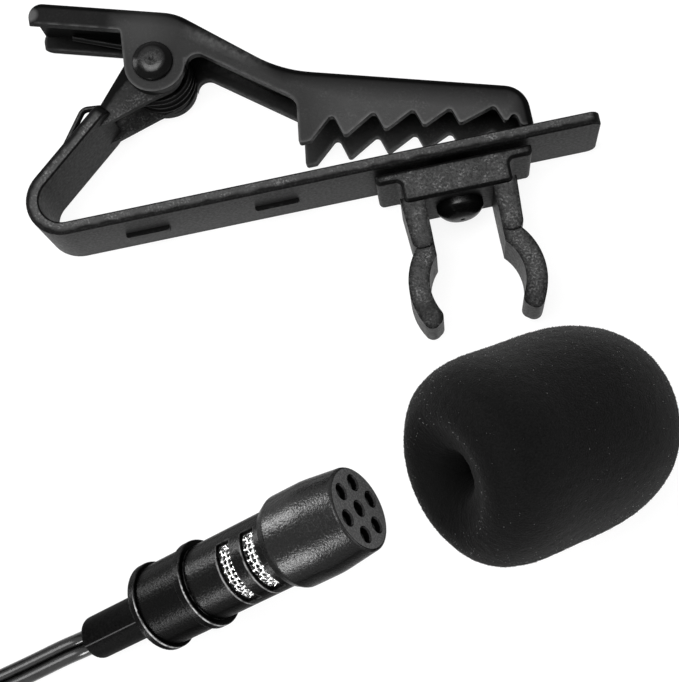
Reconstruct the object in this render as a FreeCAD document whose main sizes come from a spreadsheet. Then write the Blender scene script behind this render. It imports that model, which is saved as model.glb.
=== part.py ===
import FreeCAD, Part
import math
import os
import Sketcher
from FreeCAD import Matrix, Placement, Rotation, Vector

# Lavalier microphone kit lying on a table: a tie clip with a swivelling
# microphone holder, the microphone on its twin lead, and a foam windscreen.
# Millimetres. Z is up and the table is z = 0. The origin is on the table,
# under the middle of the clip's straight bar, and X runs along the bar
# towards its free end.

doc = FreeCAD.newDocument("lavalier")
dim = doc.addObject("Spreadsheet::Sheet", "dim")

SIZES = {
    "strip_width": 7.4,
    "strip_thick": 1.15,
    "strip_end": 24.9,
    "bend_x": 21.7,
    "bend_radius": 3.2,
    "upright_angle": 40.8,
    "upright_len": 8.7,
    "strip_edge": 0.2,
    "strip_corner": 0.9,
    "upright_corner": 1.1,
    "rib_len": 3.9,
    "rib_wide": 0.8,
    "rib_high": 0.45,
    "rib_pitch": 11.6,
    "rib_first": 15.3,
    "pivot_x": 11.9,
    "pivot_y": 13.4,
    "rivet_head": 3.6,
    "rivet_rise": 0.8,
    "rivet_shank": 1.6,
    "ear_thick": 0.6,
    "ear_radius": 2.3,
    "ear_root": 1.6,
    "ear_belly": 0.8,
    "plate_gap": 0.1,
    "hole_gap": 0.1,
    "lever_width": 6.9,
    "lever_edge": 0.7,
    "lever_thick": 0.8,
    "lug_radius": 2.75,
    "tail_len": 10.4,
    "tail_deep": 2.2,
    "tail_round": 1.2,
    "tail_slope": 17.2,
    "tail_over": 5.1,
    "neck_x": 2.7,
    "neck_radius": 5.0,
    "jaw_len": 31.25,
    "root_x": 11.75,
    "root_radius": 1.4,
    "root_drop": 6.1,
    "shoulder_x": 10.9,
    "shoulder_drop": 3.0,
    "shoulder_radius": 12.0,
    "nose_drop": 9.2,
    "nose_long": 1.1,
    "nose_radius": 2.4,
    "bite_gap": 0.1,
    "tooth_count": 6,
    "tooth_first": 11.2,
    "tooth_last": 1.2,
    "tooth_clear": 2.65,
    "tooth_deep": 2.1,
    "tooth_tip": 0.25,
    "first_tip": 1.0,
    "wire": 0.55,
    "wire_gap": 0.43,
    "leg_len": 6.6,
    "coil_radius": 2.75,
    "coil_turns": 2.5,
    "spring_bow": 1.5,
    "holder_x": 11.87,
    "holder_len": 13.6,
    "holder_wide": 6.9,
    "holder_wing": 0.95,
    "holder_block": 9.4,
    "holder_deep": 2.9,
    "holder_seat": 0.45,
    "holder_edge": 0.4,
    "boss_radius": 1.8,
    "swivel_head": 4.1,
    "swivel_rise": 1.5,
    "swivel_shank": 1.5,
    "arm_wide": 6.2,
    "ring_wide": 5.7,
    "arm_out": 5.05,
    "arm_step": 7.0,
    "arm_taper": 0.3,
    "throat": 5.9,
    "arm_thick": 1.8,
    "bore_drop": 10.6,
    "tip_slope": 1.1,
    "bore_radius": 4.05,
    "mouth_angle": 104.0,
    "mic_pitch": 29.0,
    "mic_turn": 11.0,
    "mic_x": 25.47,
    "mic_y": 34.33,
    "mic_lift": 0.35,
    "face_radius": 3.45,
    "cap_radius": 3.88,
    "cap_len": 7.4,
    "cap_lip": 0.8,
    "cap_swell": 3.6,
    "cap_face": 0.7,
    "cap_seat": 5.2,
    "cap_rear": 0.4,
    "capsule_room": 3.05,
    "hole_radius": 0.6,
    "hole_ring": 2.15,
    "hole_turn": 15.0,
    "hole_edge": 0.12,
    "body_radius": 3.2,
    "body_wall": 0.45,
    "window_first": 8.75,
    "window_pitch": 2.5,
    "window_wide": 1.35,
    "window_count": 2,
    "window_arc": 110.0,
    "window_turn": 20.0,
    "mesh_thick": 0.2,
    "collar_at": 15.5,
    "collar_spigot": 1.4,
    "collar_radius": 3.7,
    "collar_len": 0.8,
    "groove_radius": 3.45,
    "groove_len": 4.2,
    "flange_radius": 3.75,
    "flange_len": 0.7,
    "crimp_radius": 1.4,
    "sleeve_len": 7.7,
    "sleeve_radius": 1.85,
    "sleeve_edge": 0.6,
    "mic_fit": 0.05,
    "capsule_radius": 2.6,
    "capsule_len": 2.4,
    "felt_thick": 0.6,
    "board_thick": 0.6,
    "wire_spread": 0.7,
    "wire_radius": 0.25,
    "lead": 2.2,
    "foam_radius": 8.55,
    "foam_len": 22.0,
    "foam_mouth": 4.7,
    "foam_bore": 3.6,
    "foam_lip": 0.8,
    "foam_deep": 13.0,
    "foam_x": 14.64,
    "foam_y": 26.34,
    "foam_turn": 14.0,
    "foam_pitch": 28.0,
    "ring_gap": 0.85,
    "layer_gap": 0.45,
    "loop_turns": 3.0,
    "last_turns": 2.75,
    "loop_layers": 4,
    "loop_outer": 19.0,
    "coil_x": 58.0,
    "coil_y": 19.2,
    "tie_thick": 0.8,
    "tie_gap": 0.25,
    "tie_wide": 6.0,
    "tie_turn": 90.0,
    "tail_run": 22.0,
    "plug_radius": 1.75,
    "plug_len": 14.0,
    "plug_band": 0.5,
    "tip_len": 3.7,
    "ring_band": 2.4,
    "barrel_radius": 3.5,
    "barrel_len": 16.0,
    "boot_len": 9.0,
}
for row, (alias, value) in enumerate(SIZES.items(), start=1):
    dim.set(f"A{row}", alias)
    dim.set(f"B{row}", str(value))
    dim.setAlias(f"B{row}", alias)
doc.recompute()


def num(rule):
    """The value of a rule written with the sheet's names."""
    return float(dim.evalExpression(str(rule)))


def bind(thing, prop, rule):
    thing.setExpression(prop, str(rule))


def new_body(name):
    body = doc.addObject("PartDesign::Body", name)
    body.Label = name
    return body


def plane_of(body, role):
    for feature in body.Origin.OriginFeatures:
        if feature.Role == role:
            return feature
    raise ValueError(role)


def fixed_point(sketch, geo, pos, x_rule, y_rule):
    """Hold one sketch point at two rules of the sheet."""
    for kind, rule in (("DistanceX", x_rule), ("DistanceY", y_rule)):
        index = sketch.addConstraint(Sketcher.Constraint(kind, geo, pos, num(rule)))
        bind(sketch, f"Constraints[{index}]", rule)


def new_sketch(body, role, name, level="0"):
    sketch = body.newObject("Sketcher::SketchObject", name)
    sketch.AttachmentSupport = [(plane_of(body, role), "")]
    sketch.MapMode = "FlatFace"
    bind(sketch, ".AttachmentOffset.Base.z", level)
    return sketch


def outline(sketch, corners):
    """Closed outline: corners are (x, y) or (x, y, radius), each a rule."""
    spots = [Vector(num(c[0]), num(c[1]), 0) for c in corners]
    radii = [num(c[2]) if len(c) > 2 else 0.0 for c in corners]
    count = len(corners)
    starts, ends = [], []
    for i, spot in enumerate(spots):
        before = (spots[i - 1] - spot).normalize()
        after = (spots[(i + 1) % count] - spot).normalize()
        cut = radii[i] / math.tan(before.getAngle(after) / 2) if radii[i] else 0.0
        ends.append(spot + before * cut)
        starts.append(spot + after * cut)
    lines = []
    for i in range(count):
        line = Part.LineSegment(starts[i], ends[(i + 1) % count])
        lines.append(sketch.addGeometry(line, False))
    for i, corner in enumerate(corners):
        inward, outward = lines[i - 1], lines[i]
        if not radii[i]:
            joint = Sketcher.Constraint("Coincident", inward, 2, outward, 1)
            sketch.addConstraint(joint)
            fixed_point(sketch, outward, 1, corner[0], corner[1])
            continue
        before = (spots[i - 1] - spots[i]).normalize()
        after = (spots[(i + 1) % count] - spots[i]).normalize()
        bisector = (before + after).normalize()
        reach = radii[i] / math.sin(before.getAngle(after) / 2)
        centre = spots[i] + bisector * reach
        angle_in = math.atan2(ends[i].y - centre.y, ends[i].x - centre.x)
        angle_out = math.atan2(starts[i].y - centre.y, starts[i].x - centre.x)
        forward = (angle_out - angle_in) % (2 * math.pi) < math.pi
        first, last = (1, 2) if forward else (2, 1)
        angles = (angle_in, angle_out) if forward else (angle_out, angle_in)
        circle = Part.Circle(centre, Vector(0, 0, 1), radii[i])
        bow = sketch.addGeometry(Part.ArcOfCircle(circle, *angles), False)
        mark = sketch.addGeometry(Part.Point(spots[i]), True)
        fixed_point(sketch, mark, 1, corner[0], corner[1])
        sketch.addConstraint([
            Sketcher.Constraint("PointOnObject", mark, 1, inward),
            Sketcher.Constraint("PointOnObject", mark, 1, outward),
            Sketcher.Constraint("Tangent", inward, 2, bow, first),
            Sketcher.Constraint("Tangent", bow, last, outward, 1),
        ])
        index = sketch.addConstraint(Sketcher.Constraint("Radius", bow, radii[i]))
        bind(sketch, f"Constraints[{index}]", corner[2])
    return sketch


def round_mark(sketch, x_rule, y_rule, radius_rule):
    """One full circle in a sketch."""
    circle = Part.Circle(Vector(num(x_rule), num(y_rule), 0), Vector(0, 0, 1), num(radius_rule))
    geo = sketch.addGeometry(circle, False)
    fixed_point(sketch, geo, 3, x_rule, y_rule)
    index = sketch.addConstraint(Sketcher.Constraint("Radius", geo, num(radius_rule)))
    bind(sketch, f"Constraints[{index}]", radius_rule)
    return sketch


def pad(body, sketch, name, length, kind="Pad"):
    """Pad or Pocket along the sketch's normal, its length a rule."""
    feature = body.newObject(f"PartDesign::{kind}", name)
    feature.Profile = sketch
    bind(feature, "Length", length)
    if kind == "Pocket":
        feature.Reversed = True
    sketch.Visibility = False
    doc.recompute()
    return feature


def turned(body, name, corners, kind="Revolution"):
    """A solid turned about the X axis from (distance, radius) corners."""
    sketch = new_sketch(body, "XY_Plane", f"{name}_profile")
    outline(sketch, corners)
    feature = body.newObject(f"PartDesign::{kind}", name)
    feature.Profile = sketch
    feature.ReferenceAxis = (sketch, ["H_Axis"])
    feature.Angle = 360
    doc.recompute()
    return feature


def rounded(body, name, radius, wanted, kind="Fillet"):
    """Fillet or Chamfer on the tip's edges that the test picks."""
    doc.recompute()
    base = body.Tip
    edges = base.Shape.Edges
    picked = [f"Edge{i}" for i, edge in enumerate(edges, start=1) if wanted(edge)]
    if not picked:
        raise ValueError(f"{name} finds no edge")
    feature = body.newObject(f"PartDesign::{kind}", name)
    feature.Base = (base, picked)
    bind(feature, "Radius" if kind == "Fillet" else "Size", radius)
    doc.recompute()
    return feature


def feature_of(name, shape):
    """A node whose shape is made with plain shape functions."""
    thing = doc.addObject("Part::Feature", name)
    thing.Label = name
    thing.Shape = shape
    return thing


NODES = []


def keep(thing, place=None):
    if place is not None:
        thing.Placement = place
    NODES.append(thing)
    return thing


# Tie clip: bent bar with two ears, in side view with its width along Z.

BEND_Y = "(dim.bend_radius - dim.strip_thick / 2)"
LEVER_SIDE = "((dim.strip_width - dim.lever_width) / 2)"
EAR_FAR = f"({LEVER_SIDE} + dim.lever_thick + dim.plate_gap)"
EAR_NEAR = f"(dim.strip_width - {EAR_FAR} - dim.ear_thick)"
UP_COS = "cos(dim.upright_angle)"
UP_SIN = "sin(dim.upright_angle)"


def along_upright(distance, out):
    """Rules for a point on the upright: along it, and out from the bend's centre."""
    x_rule = f"-dim.bend_x + ({distance}) * {UP_COS} - ({out}) * {UP_SIN}"
    y_rule = f"{BEND_Y} + ({distance}) * {UP_SIN} + ({out}) * {UP_COS}"
    return x_rule, y_rule


def is_cross(edge, x):
    """An edge that runs through the strip's thickness at one x."""
    box = edge.BoundBox
    return abs(box.Center.x - x) < 1e-4 and box.XLength < 1e-4 and box.ZLength < 1e-4


def is_upright_end(edge):
    """An edge that runs through the strip's thickness at the upright's end."""
    foot = Vector(num("-dim.bend_x"), num(BEND_Y), 0)
    along = Vector(num(UP_COS), num(UP_SIN), 0)
    level = edge.BoundBox.ZLength < 1e-4
    return level and all(abs((spot.Point - foot).dot(along) - num("dim.upright_len")) < 1e-3
                         for spot in edge.Vertexes)


def on_side(edge, z):
    """An edge that lies in the plane of one side."""
    box = edge.BoundBox
    return abs(box.ZMin - z) < 1e-4 and abs(box.ZMax - z) < 1e-4


def make_clip_strip():
    body = new_body("clip_strip")
    half = "dim.strip_thick / 2"
    inner = "(dim.bend_radius - dim.strip_thick)"
    corner_in = "(1 / tan(dim.upright_angle / 2))"
    band = [
        ("dim.strip_end", f"-{half}"),
        ("dim.strip_end", half),
        (f"-dim.bend_x - {inner} * {corner_in}", half, inner),
        along_upright("dim.upright_len", inner),
        along_upright("dim.upright_len", "dim.bend_radius"),
        (f"-dim.bend_x - dim.bend_radius * {corner_in}", f"-{half}", "dim.bend_radius"),
    ]
    sketch = outline(new_sketch(body, "XY_Plane", "band_profile"), band)
    pad(body, sketch, "band", "dim.strip_width")
    end_x, width = num("dim.strip_end"), num("dim.strip_width")
    rounded(body, "end_corners", "dim.strip_corner", lambda edge: is_cross(edge, end_x))
    rounded(body, "upright_corners", "dim.upright_corner", is_upright_end)
    rounded(body, "band_edges", "dim.strip_edge", lambda edge: on_side(edge, 0) or on_side(edge, width))
    root_in = along_upright("dim.upright_len - dim.ear_root", inner)
    root_out = along_upright("dim.upright_len - dim.ear_root / 4", "dim.bend_radius")
    reach = "dim.ear_radius"
    ear = [
        root_in,
        ("-dim.pivot_x - 1.0", f"dim.pivot_y - {reach} - dim.ear_belly", "1.0"),
        (f"-dim.pivot_x + {reach}", f"dim.pivot_y - {reach}", "2.0"),
        (f"-dim.pivot_x + {reach}", f"dim.pivot_y + {reach}", "2.0"),
        (f"-dim.pivot_x - {reach} * 0.55", f"dim.pivot_y + {reach}", "1.0"),
        root_out,
    ]
    for side, level in (("far", EAR_FAR), ("near", EAR_NEAR)):
        sketch = outline(new_sketch(body, "XY_Plane", f"{side}_ear_profile", level), ear)
        pad(body, sketch, f"{side}_ear", "dim.ear_thick")
    sketch = new_sketch(body, "XY_Plane", "pivot_hole_profile")
    round_mark(sketch, "-dim.pivot_x", "dim.pivot_y", "dim.rivet_shank / 2 + dim.hole_gap")
    pad(body, sketch, "pivot_hole", "dim.strip_width", "Pocket")
    for index in range(2):
        middle = f"(-dim.rib_first + {index} * dim.rib_pitch)"
        rib = [
            (f"{middle} - dim.rib_len / 2", f"-{half} - dim.rib_high", "dim.rib_high / 2"),
            (f"{middle} + dim.rib_len / 2", f"-{half} - dim.rib_high", "dim.rib_high / 2"),
            (f"{middle} + dim.rib_len / 2", "0"),
            (f"{middle} - dim.rib_len / 2", "0"),
        ]
        level = "(dim.strip_width - dim.rib_wide) / 2"
        sketch = outline(new_sketch(body, "XY_Plane", f"rib_{index + 1}_profile", level), rib)
        pad(body, sketch, f"rib_{index + 1}", "dim.rib_wide")
    sketch = new_sketch(body, "XZ_Plane", "holder_hole_profile", "-5")
    round_mark(sketch, "dim.holder_x", "dim.strip_width / 2", "dim.swivel_shank / 2 + dim.hole_gap")
    pad(body, sketch, "holder_hole", "10", "Pocket")
    return body


clip_strip = keep(make_clip_strip())


# Jaw lever: a drawn channel, open towards the bar, with teeth on both flanges.

def from_pivot(x_rule, y_rule, radius=None):
    spot = (f"-dim.pivot_x + ({x_rule})", f"dim.pivot_y + ({y_rule})")
    return spot + (radius,) if radius else spot


def tail_line(x_rule, drop):
    """A point on the tail's sloping line, some way under its top."""
    rise = f"dim.tail_over - ({x_rule}) * tan(dim.tail_slope) - ({drop})"
    return x_rule, rise


def inset(corners, index, depth):
    """The corner moved into the outline by a thickness given as a rule."""
    here, before, after = (Vector(num(corners[i][0]), num(corners[i][1]), 0)
                           for i in (index, index - 1, index + 1))
    ahead = (after - here).normalize()
    back = (before - here).normalize()
    bisector = (ahead + back).normalize()
    if ahead.cross(back).z > 0:
        bisector = -bisector
    scale = 1 / math.sin(back.getAngle(ahead) / 2)
    x_rule = f"{corners[index][0]} + ({bisector.x * scale}) * {depth}"
    y_rule = f"{corners[index][1]} + ({bisector.y * scale}) * {depth}"
    return x_rule, y_rule


TIP_FADE = 0.8
DEPTH_FADE = 2.0
TOOTH_ROW = "(dim.jaw_len - dim.nose_long - dim.tooth_first - dim.tooth_last)"
TOOTH_PITCH = f"({TOOTH_ROW} / (dim.tooth_count - 1))"
TIP_SHIFT = (0, 0.11, 0.1, 0.03, -0.1, -0.03)
GAP_AT = 0.85
GAP_ROUND = "dim.tooth_tip * 1.4"


def tooth_corners():
    """Gaps between the teeth from the nose back to the jaw's root: a ramp, then a steep flank."""
    corners = []
    count = int(num("dim.tooth_count"))
    bite = "(dim.strip_thick / 2 + dim.tooth_clear)"
    for k in reversed(range(count)):
        shift = TIP_SHIFT[k] if k < len(TIP_SHIFT) else 0
        after = TIP_SHIFT[k + 1] if k + 1 < len(TIP_SHIFT) else 0
        tip_x = f"(-dim.pivot_x + dim.tooth_first + {k + shift} * {TOOTH_PITCH})"
        share = f"({k} / dim.tooth_count)"
        tip_y = f"{bite} * (1 - {TIP_FADE} * {share} * {share})"
        deep = f"dim.tooth_deep / (1 + {DEPTH_FADE} * {share})"
        reach = f"{1 + after - shift} * {TOOTH_PITCH}" if k < count - 1 else "dim.tooth_last"
        flat = "dim.first_tip" if k == 0 else "dim.tooth_tip * 1.2"
        corners.append((f"{tip_x} + {GAP_AT} * {reach}", f"{tip_y} + {deep}", GAP_ROUND))
        corners.append((f"{tip_x} + {flat}", tip_y, "dim.tooth_tip"))
        corners.append((tip_x, tip_y, "dim.tooth_tip"))
    return corners


def make_jaw_lever():
    body = new_body("jaw_lever")
    under = "dim.tail_deep"
    top = [
        from_pivot(*tail_line("-dim.tail_len - 1", "0")),
        from_pivot(*tail_line("dim.neck_x", "0"), "dim.neck_radius"),
        from_pivot("dim.shoulder_x", "-dim.shoulder_drop", "dim.shoulder_radius"),
        from_pivot("dim.jaw_len", "-dim.nose_drop", "dim.nose_radius"),
    ]
    tail = [from_pivot(*tail_line("-dim.tail_len", "0"), "dim.tail_round")]
    lower = [
        (top[3][0], "dim.strip_thick / 2 + dim.bite_gap"),
        (f"{top[3][0]} - dim.nose_long", "dim.strip_thick / 2 + dim.bite_gap", "0.4"),
    ]
    back = [
        from_pivot("dim.root_x", "-dim.root_drop", "dim.root_radius"),
        from_pivot("dim.lug_radius + 0.1", "0.9", "1.0"),
        from_pivot("dim.lug_radius", "-dim.lug_radius", "dim.lug_radius - 0.15"),
        from_pivot("-dim.lug_radius", "-dim.lug_radius", "dim.lug_radius - 0.15"),
        from_pivot(*tail_line("-dim.lug_radius + 0.4", under), "0.3"),
        from_pivot(*tail_line("-dim.tail_len", under)),
    ]
    shell = tail + top[1:] + lower + tooth_corners() + back
    sketch = outline(new_sketch(body, "XY_Plane", "shell_profile", LEVER_SIDE), shell)
    pad(body, sketch, "shell", "dim.lever_width")
    low, high = num(LEVER_SIDE), num(f"{LEVER_SIDE} + dim.lever_width")
    solid = body.Tip.Shape
    step = num("dim.lever_thick") * 0.375

    def is_back(edge):
        """An edge round the lever's back and nose, with metal under it to the left."""
        if not on_side(edge, low) and not on_side(edge, high):
            return False
        middle = edge.valueAt((edge.FirstParameter + edge.LastParameter) / 2)
        under = Vector(middle.x - step, middle.y - step, (low + high) / 2)
        above = under + Vector(2 * step, num("dim.tail_deep") + step / 3, 0)
        return solid.isInside(under, 1e-6, False) and not solid.isInside(above, 1e-6, False)

    rounded(body, "back_edges", "dim.lever_edge", is_back)
    inside = [inset(top + lower, i, "dim.lever_thick") for i in (1, 2, 3)]
    start = from_pivot(*tail_line("-dim.tail_len - 1", "dim.lever_thick / cos(dim.tail_slope)"))
    room = [start]
    room.append(inside[0] + ("dim.neck_radius - dim.lever_thick",))
    room.append(inside[1] + ("dim.shoulder_radius + dim.lever_thick",))
    room.append(inside[2] + ("dim.nose_radius - dim.lever_thick",))
    room.append((inside[2][0], "-2"))
    room.append((start[0], "-2"))
    sketch = outline(new_sketch(body, "XY_Plane", "room_profile", f"{LEVER_SIDE} + dim.lever_thick"), room)
    pad(body, sketch, "room", "dim.lever_width - 2 * dim.lever_thick", "Pocket")
    sketch = new_sketch(body, "XY_Plane", "lever_hole_profile")
    round_mark(sketch, "-dim.pivot_x", "dim.pivot_y", "dim.rivet_shank / 2 + dim.hole_gap")
    pad(body, sketch, "lever_hole", "dim.strip_width", "Pocket")
    return body


def on_axis(x_rule, y_rule, z_rule, direction):
    """Placement that turns the X axis to a direction, at three rules."""
    spot = Vector(num(x_rule), num(y_rule), num(z_rule))
    return Placement(spot, Rotation(Vector(1, 0, 0), direction))


def domed_rivet(name, shank, head, rise, length):
    """Rivet along X: its flush end at zero and its domed head past the length."""
    body = new_body(name)
    turned(body, f"{name}_body", [
        ("0", "0"),
        ("0", f"{shank} / 2"),
        (length, f"{shank} / 2"),
        (length, f"{head} / 2"),
        (f"{length} + {rise} * 0.4", f"{head} / 2", f"{rise} * 0.3"),
        (f"{length} + {rise}", f"{head} * 0.3", f"{head} * 0.4"),
        (f"{length} + {rise}", f"{head} * 0.06"),
        (f"{length} + {rise} * 0.9", "0"),
    ])
    return body


def arc_through(start, heading, end):
    """The arc that leaves a point in a direction and reaches another point."""
    chord = end - start
    side = chord - heading * chord.dot(heading)
    if side.Length < 1e-7:
        return Part.LineSegment(start, end), heading
    side.normalize()
    radius = chord.dot(chord) / (2 * chord.dot(side))
    centre = start + side * radius
    sweep = 2 * math.atan2(chord.dot(side), chord.dot(heading))
    half = sweep / 2
    middle = centre - side * radius * math.cos(half) + heading * radius * math.sin(half)
    leaving = heading * math.cos(sweep) + side * math.sin(sweep)
    return Part.Arc(start, middle, end), leaving


def biarc(start, heading, end, arriving):
    """Two arcs that join two points along their directions."""
    chord = end - start
    total = heading + arriving
    even = 2 * (1 - heading.dot(arriving))
    reach = chord.dot(total)
    if even < 1e-9:
        step = chord.dot(chord) / (2 * reach)
    else:
        step = (math.sqrt(reach ** 2 + even * chord.dot(chord)) - reach) / even
    joint = (start + heading * step + end - arriving * step) * 0.5
    first, turned_to = arc_through(start, heading, joint)
    second, _ = arc_through(joint, turned_to, end)
    return [first, second]


def bent_path(points, radii):
    """Straight runs joined by arcs, with one radius for each inner point."""
    pieces = []
    last = points[0]
    for before, spot, after, radius in zip(points, points[1:], points[2:], radii):
        back = (before - spot).normalize()
        ahead = (after - spot).normalize()
        cut = radius / math.tan(back.getAngle(ahead) / 2)
        leave = spot + back * cut
        join = spot + ahead * cut
        bow = (back + ahead).normalize()
        middle = spot + bow * (radius / math.sin(back.getAngle(ahead) / 2) - radius)
        if last.distanceToPoint(leave) > 1e-6:
            pieces.append(Part.LineSegment(last, leave))
        pieces.append(Part.Arc(leave, middle, join))
        last = join
    pieces.append(Part.LineSegment(last, points[-1]))
    return pieces


def tube(pieces, radius):
    """A round tube swept along joined lines and arcs."""
    path = Part.Wire([piece.toShape() for piece in pieces])
    first = path.Edges[0]
    start = first.valueAt(first.FirstParameter)
    heading = first.tangentAt(first.FirstParameter)
    ring = Part.Wire([Part.Circle(start, heading, radius).toShape()])
    return path.makePipeShell([ring], True, False)


def make_torsion_spring():
    """Wire coil round the pivot: one leg under the lever's tail, one over the upright."""
    wire = num("dim.wire") / 2
    radius = num("dim.coil_radius")
    pitch = num("dim.wire + dim.wire_gap")
    centre = Vector(num("-dim.pivot_x"), num("dim.pivot_y"), 0)
    low_z = num(f"{EAR_FAR} + dim.ear_thick + dim.plate_gap") + wire
    slope = math.radians(num("dim.tail_slope"))
    under_web = tail_line("-dim.tail_len * 0.72", "dim.lever_thick / cos(dim.tail_slope) + dim.wire / 2 + 0.15")
    leg_end = Vector(*(num(rule) for rule in from_pivot(*under_web)), 0)
    knee = Vector(*(num(rule) for rule in along_upright(
        "dim.upright_len - 1.0", "dim.bend_radius + dim.wire / 2 + dim.spring_bow")), 0)
    rest = Vector(*(num(rule) for rule in along_upright(
        "dim.upright_len - dim.leg_len", "dim.bend_radius + dim.wire / 2 + 0.05")), 0)

    def touch_angle(spot, upper):
        away = centre - spot
        bearing = math.atan2(away.y, away.x)
        lean = math.asin(radius / away.Length)
        return bearing + lean + math.pi / 2 if upper else bearing - lean - math.pi / 2

    begin = touch_angle(leg_end, True)
    finish = touch_angle(knee, False)
    while finish > begin - 2 * math.pi * (num("dim.coil_turns") - 0.75):
        finish -= 2 * math.pi
    sweep = begin - finish
    steps = max(4, round(sweep / (math.pi / 2)))
    climb = pitch / (2 * math.pi)

    def on_coil(share):
        angle = begin - sweep * share
        spot = centre + Vector(radius * math.cos(angle), radius * math.sin(angle), 0)
        spot.z = low_z + climb * sweep * share
        heading = Vector(math.sin(angle) * radius, -math.cos(angle) * radius, climb)
        return spot, heading.normalize()

    first, heading = on_coil(0)
    leg_start = Vector(leg_end.x, leg_end.y, first.z)
    pieces = [Part.LineSegment(leg_start, first)]
    level = (first - leg_start).normalize()
    for step in range(steps):
        start, leaving = on_coil(step / steps)
        end, arriving = on_coil((step + 1) / steps)
        if step == 0:
            leaving = level
        if step == steps - 1:
            arriving = Vector(knee.x - end.x, knee.y - end.y, 0).normalize()
        pieces += biarc(start, leaving, end, arriving)
        last = end
    route = [last, Vector(knee.x, knee.y, last.z), Vector(rest.x, rest.y, last.z)]
    across = Vector(rest.x, rest.y, num("dim.strip_width / 2") - 1.6)
    pieces += bent_path(route + [across], [num("dim.wire") * 1.4, num("dim.wire") * 1.2])
    print("spring least gap", round(pitch - 2 * wire, 2), "turns", round(sweep / (2 * math.pi), 2))
    return tube(pieces, wire)


jaw_lever = keep(make_jaw_lever())
pivot_rivet = keep(domed_rivet("pivot_rivet", "dim.rivet_shank", "dim.rivet_head", "dim.rivet_rise", "dim.lever_width"))
pivot_rivet.Placement = on_axis("-dim.pivot_x", "dim.pivot_y", LEVER_SIDE, Vector(0, 0, 1))
torsion_spring = keep(feature_of("torsion_spring", make_torsion_spring()))


# Microphone holder: a grained base that swivels on a rivet, with two spring arms.

def from_swivel(x_rule, y_rule, radius=None):
    spot = (f"dim.holder_x + ({x_rule})", f"-dim.strip_thick / 2 - dim.holder_seat - ({y_rule})")
    return spot + (radius,) if radius else spot


MINUS = {"+": "-", "-": "+"}


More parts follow.
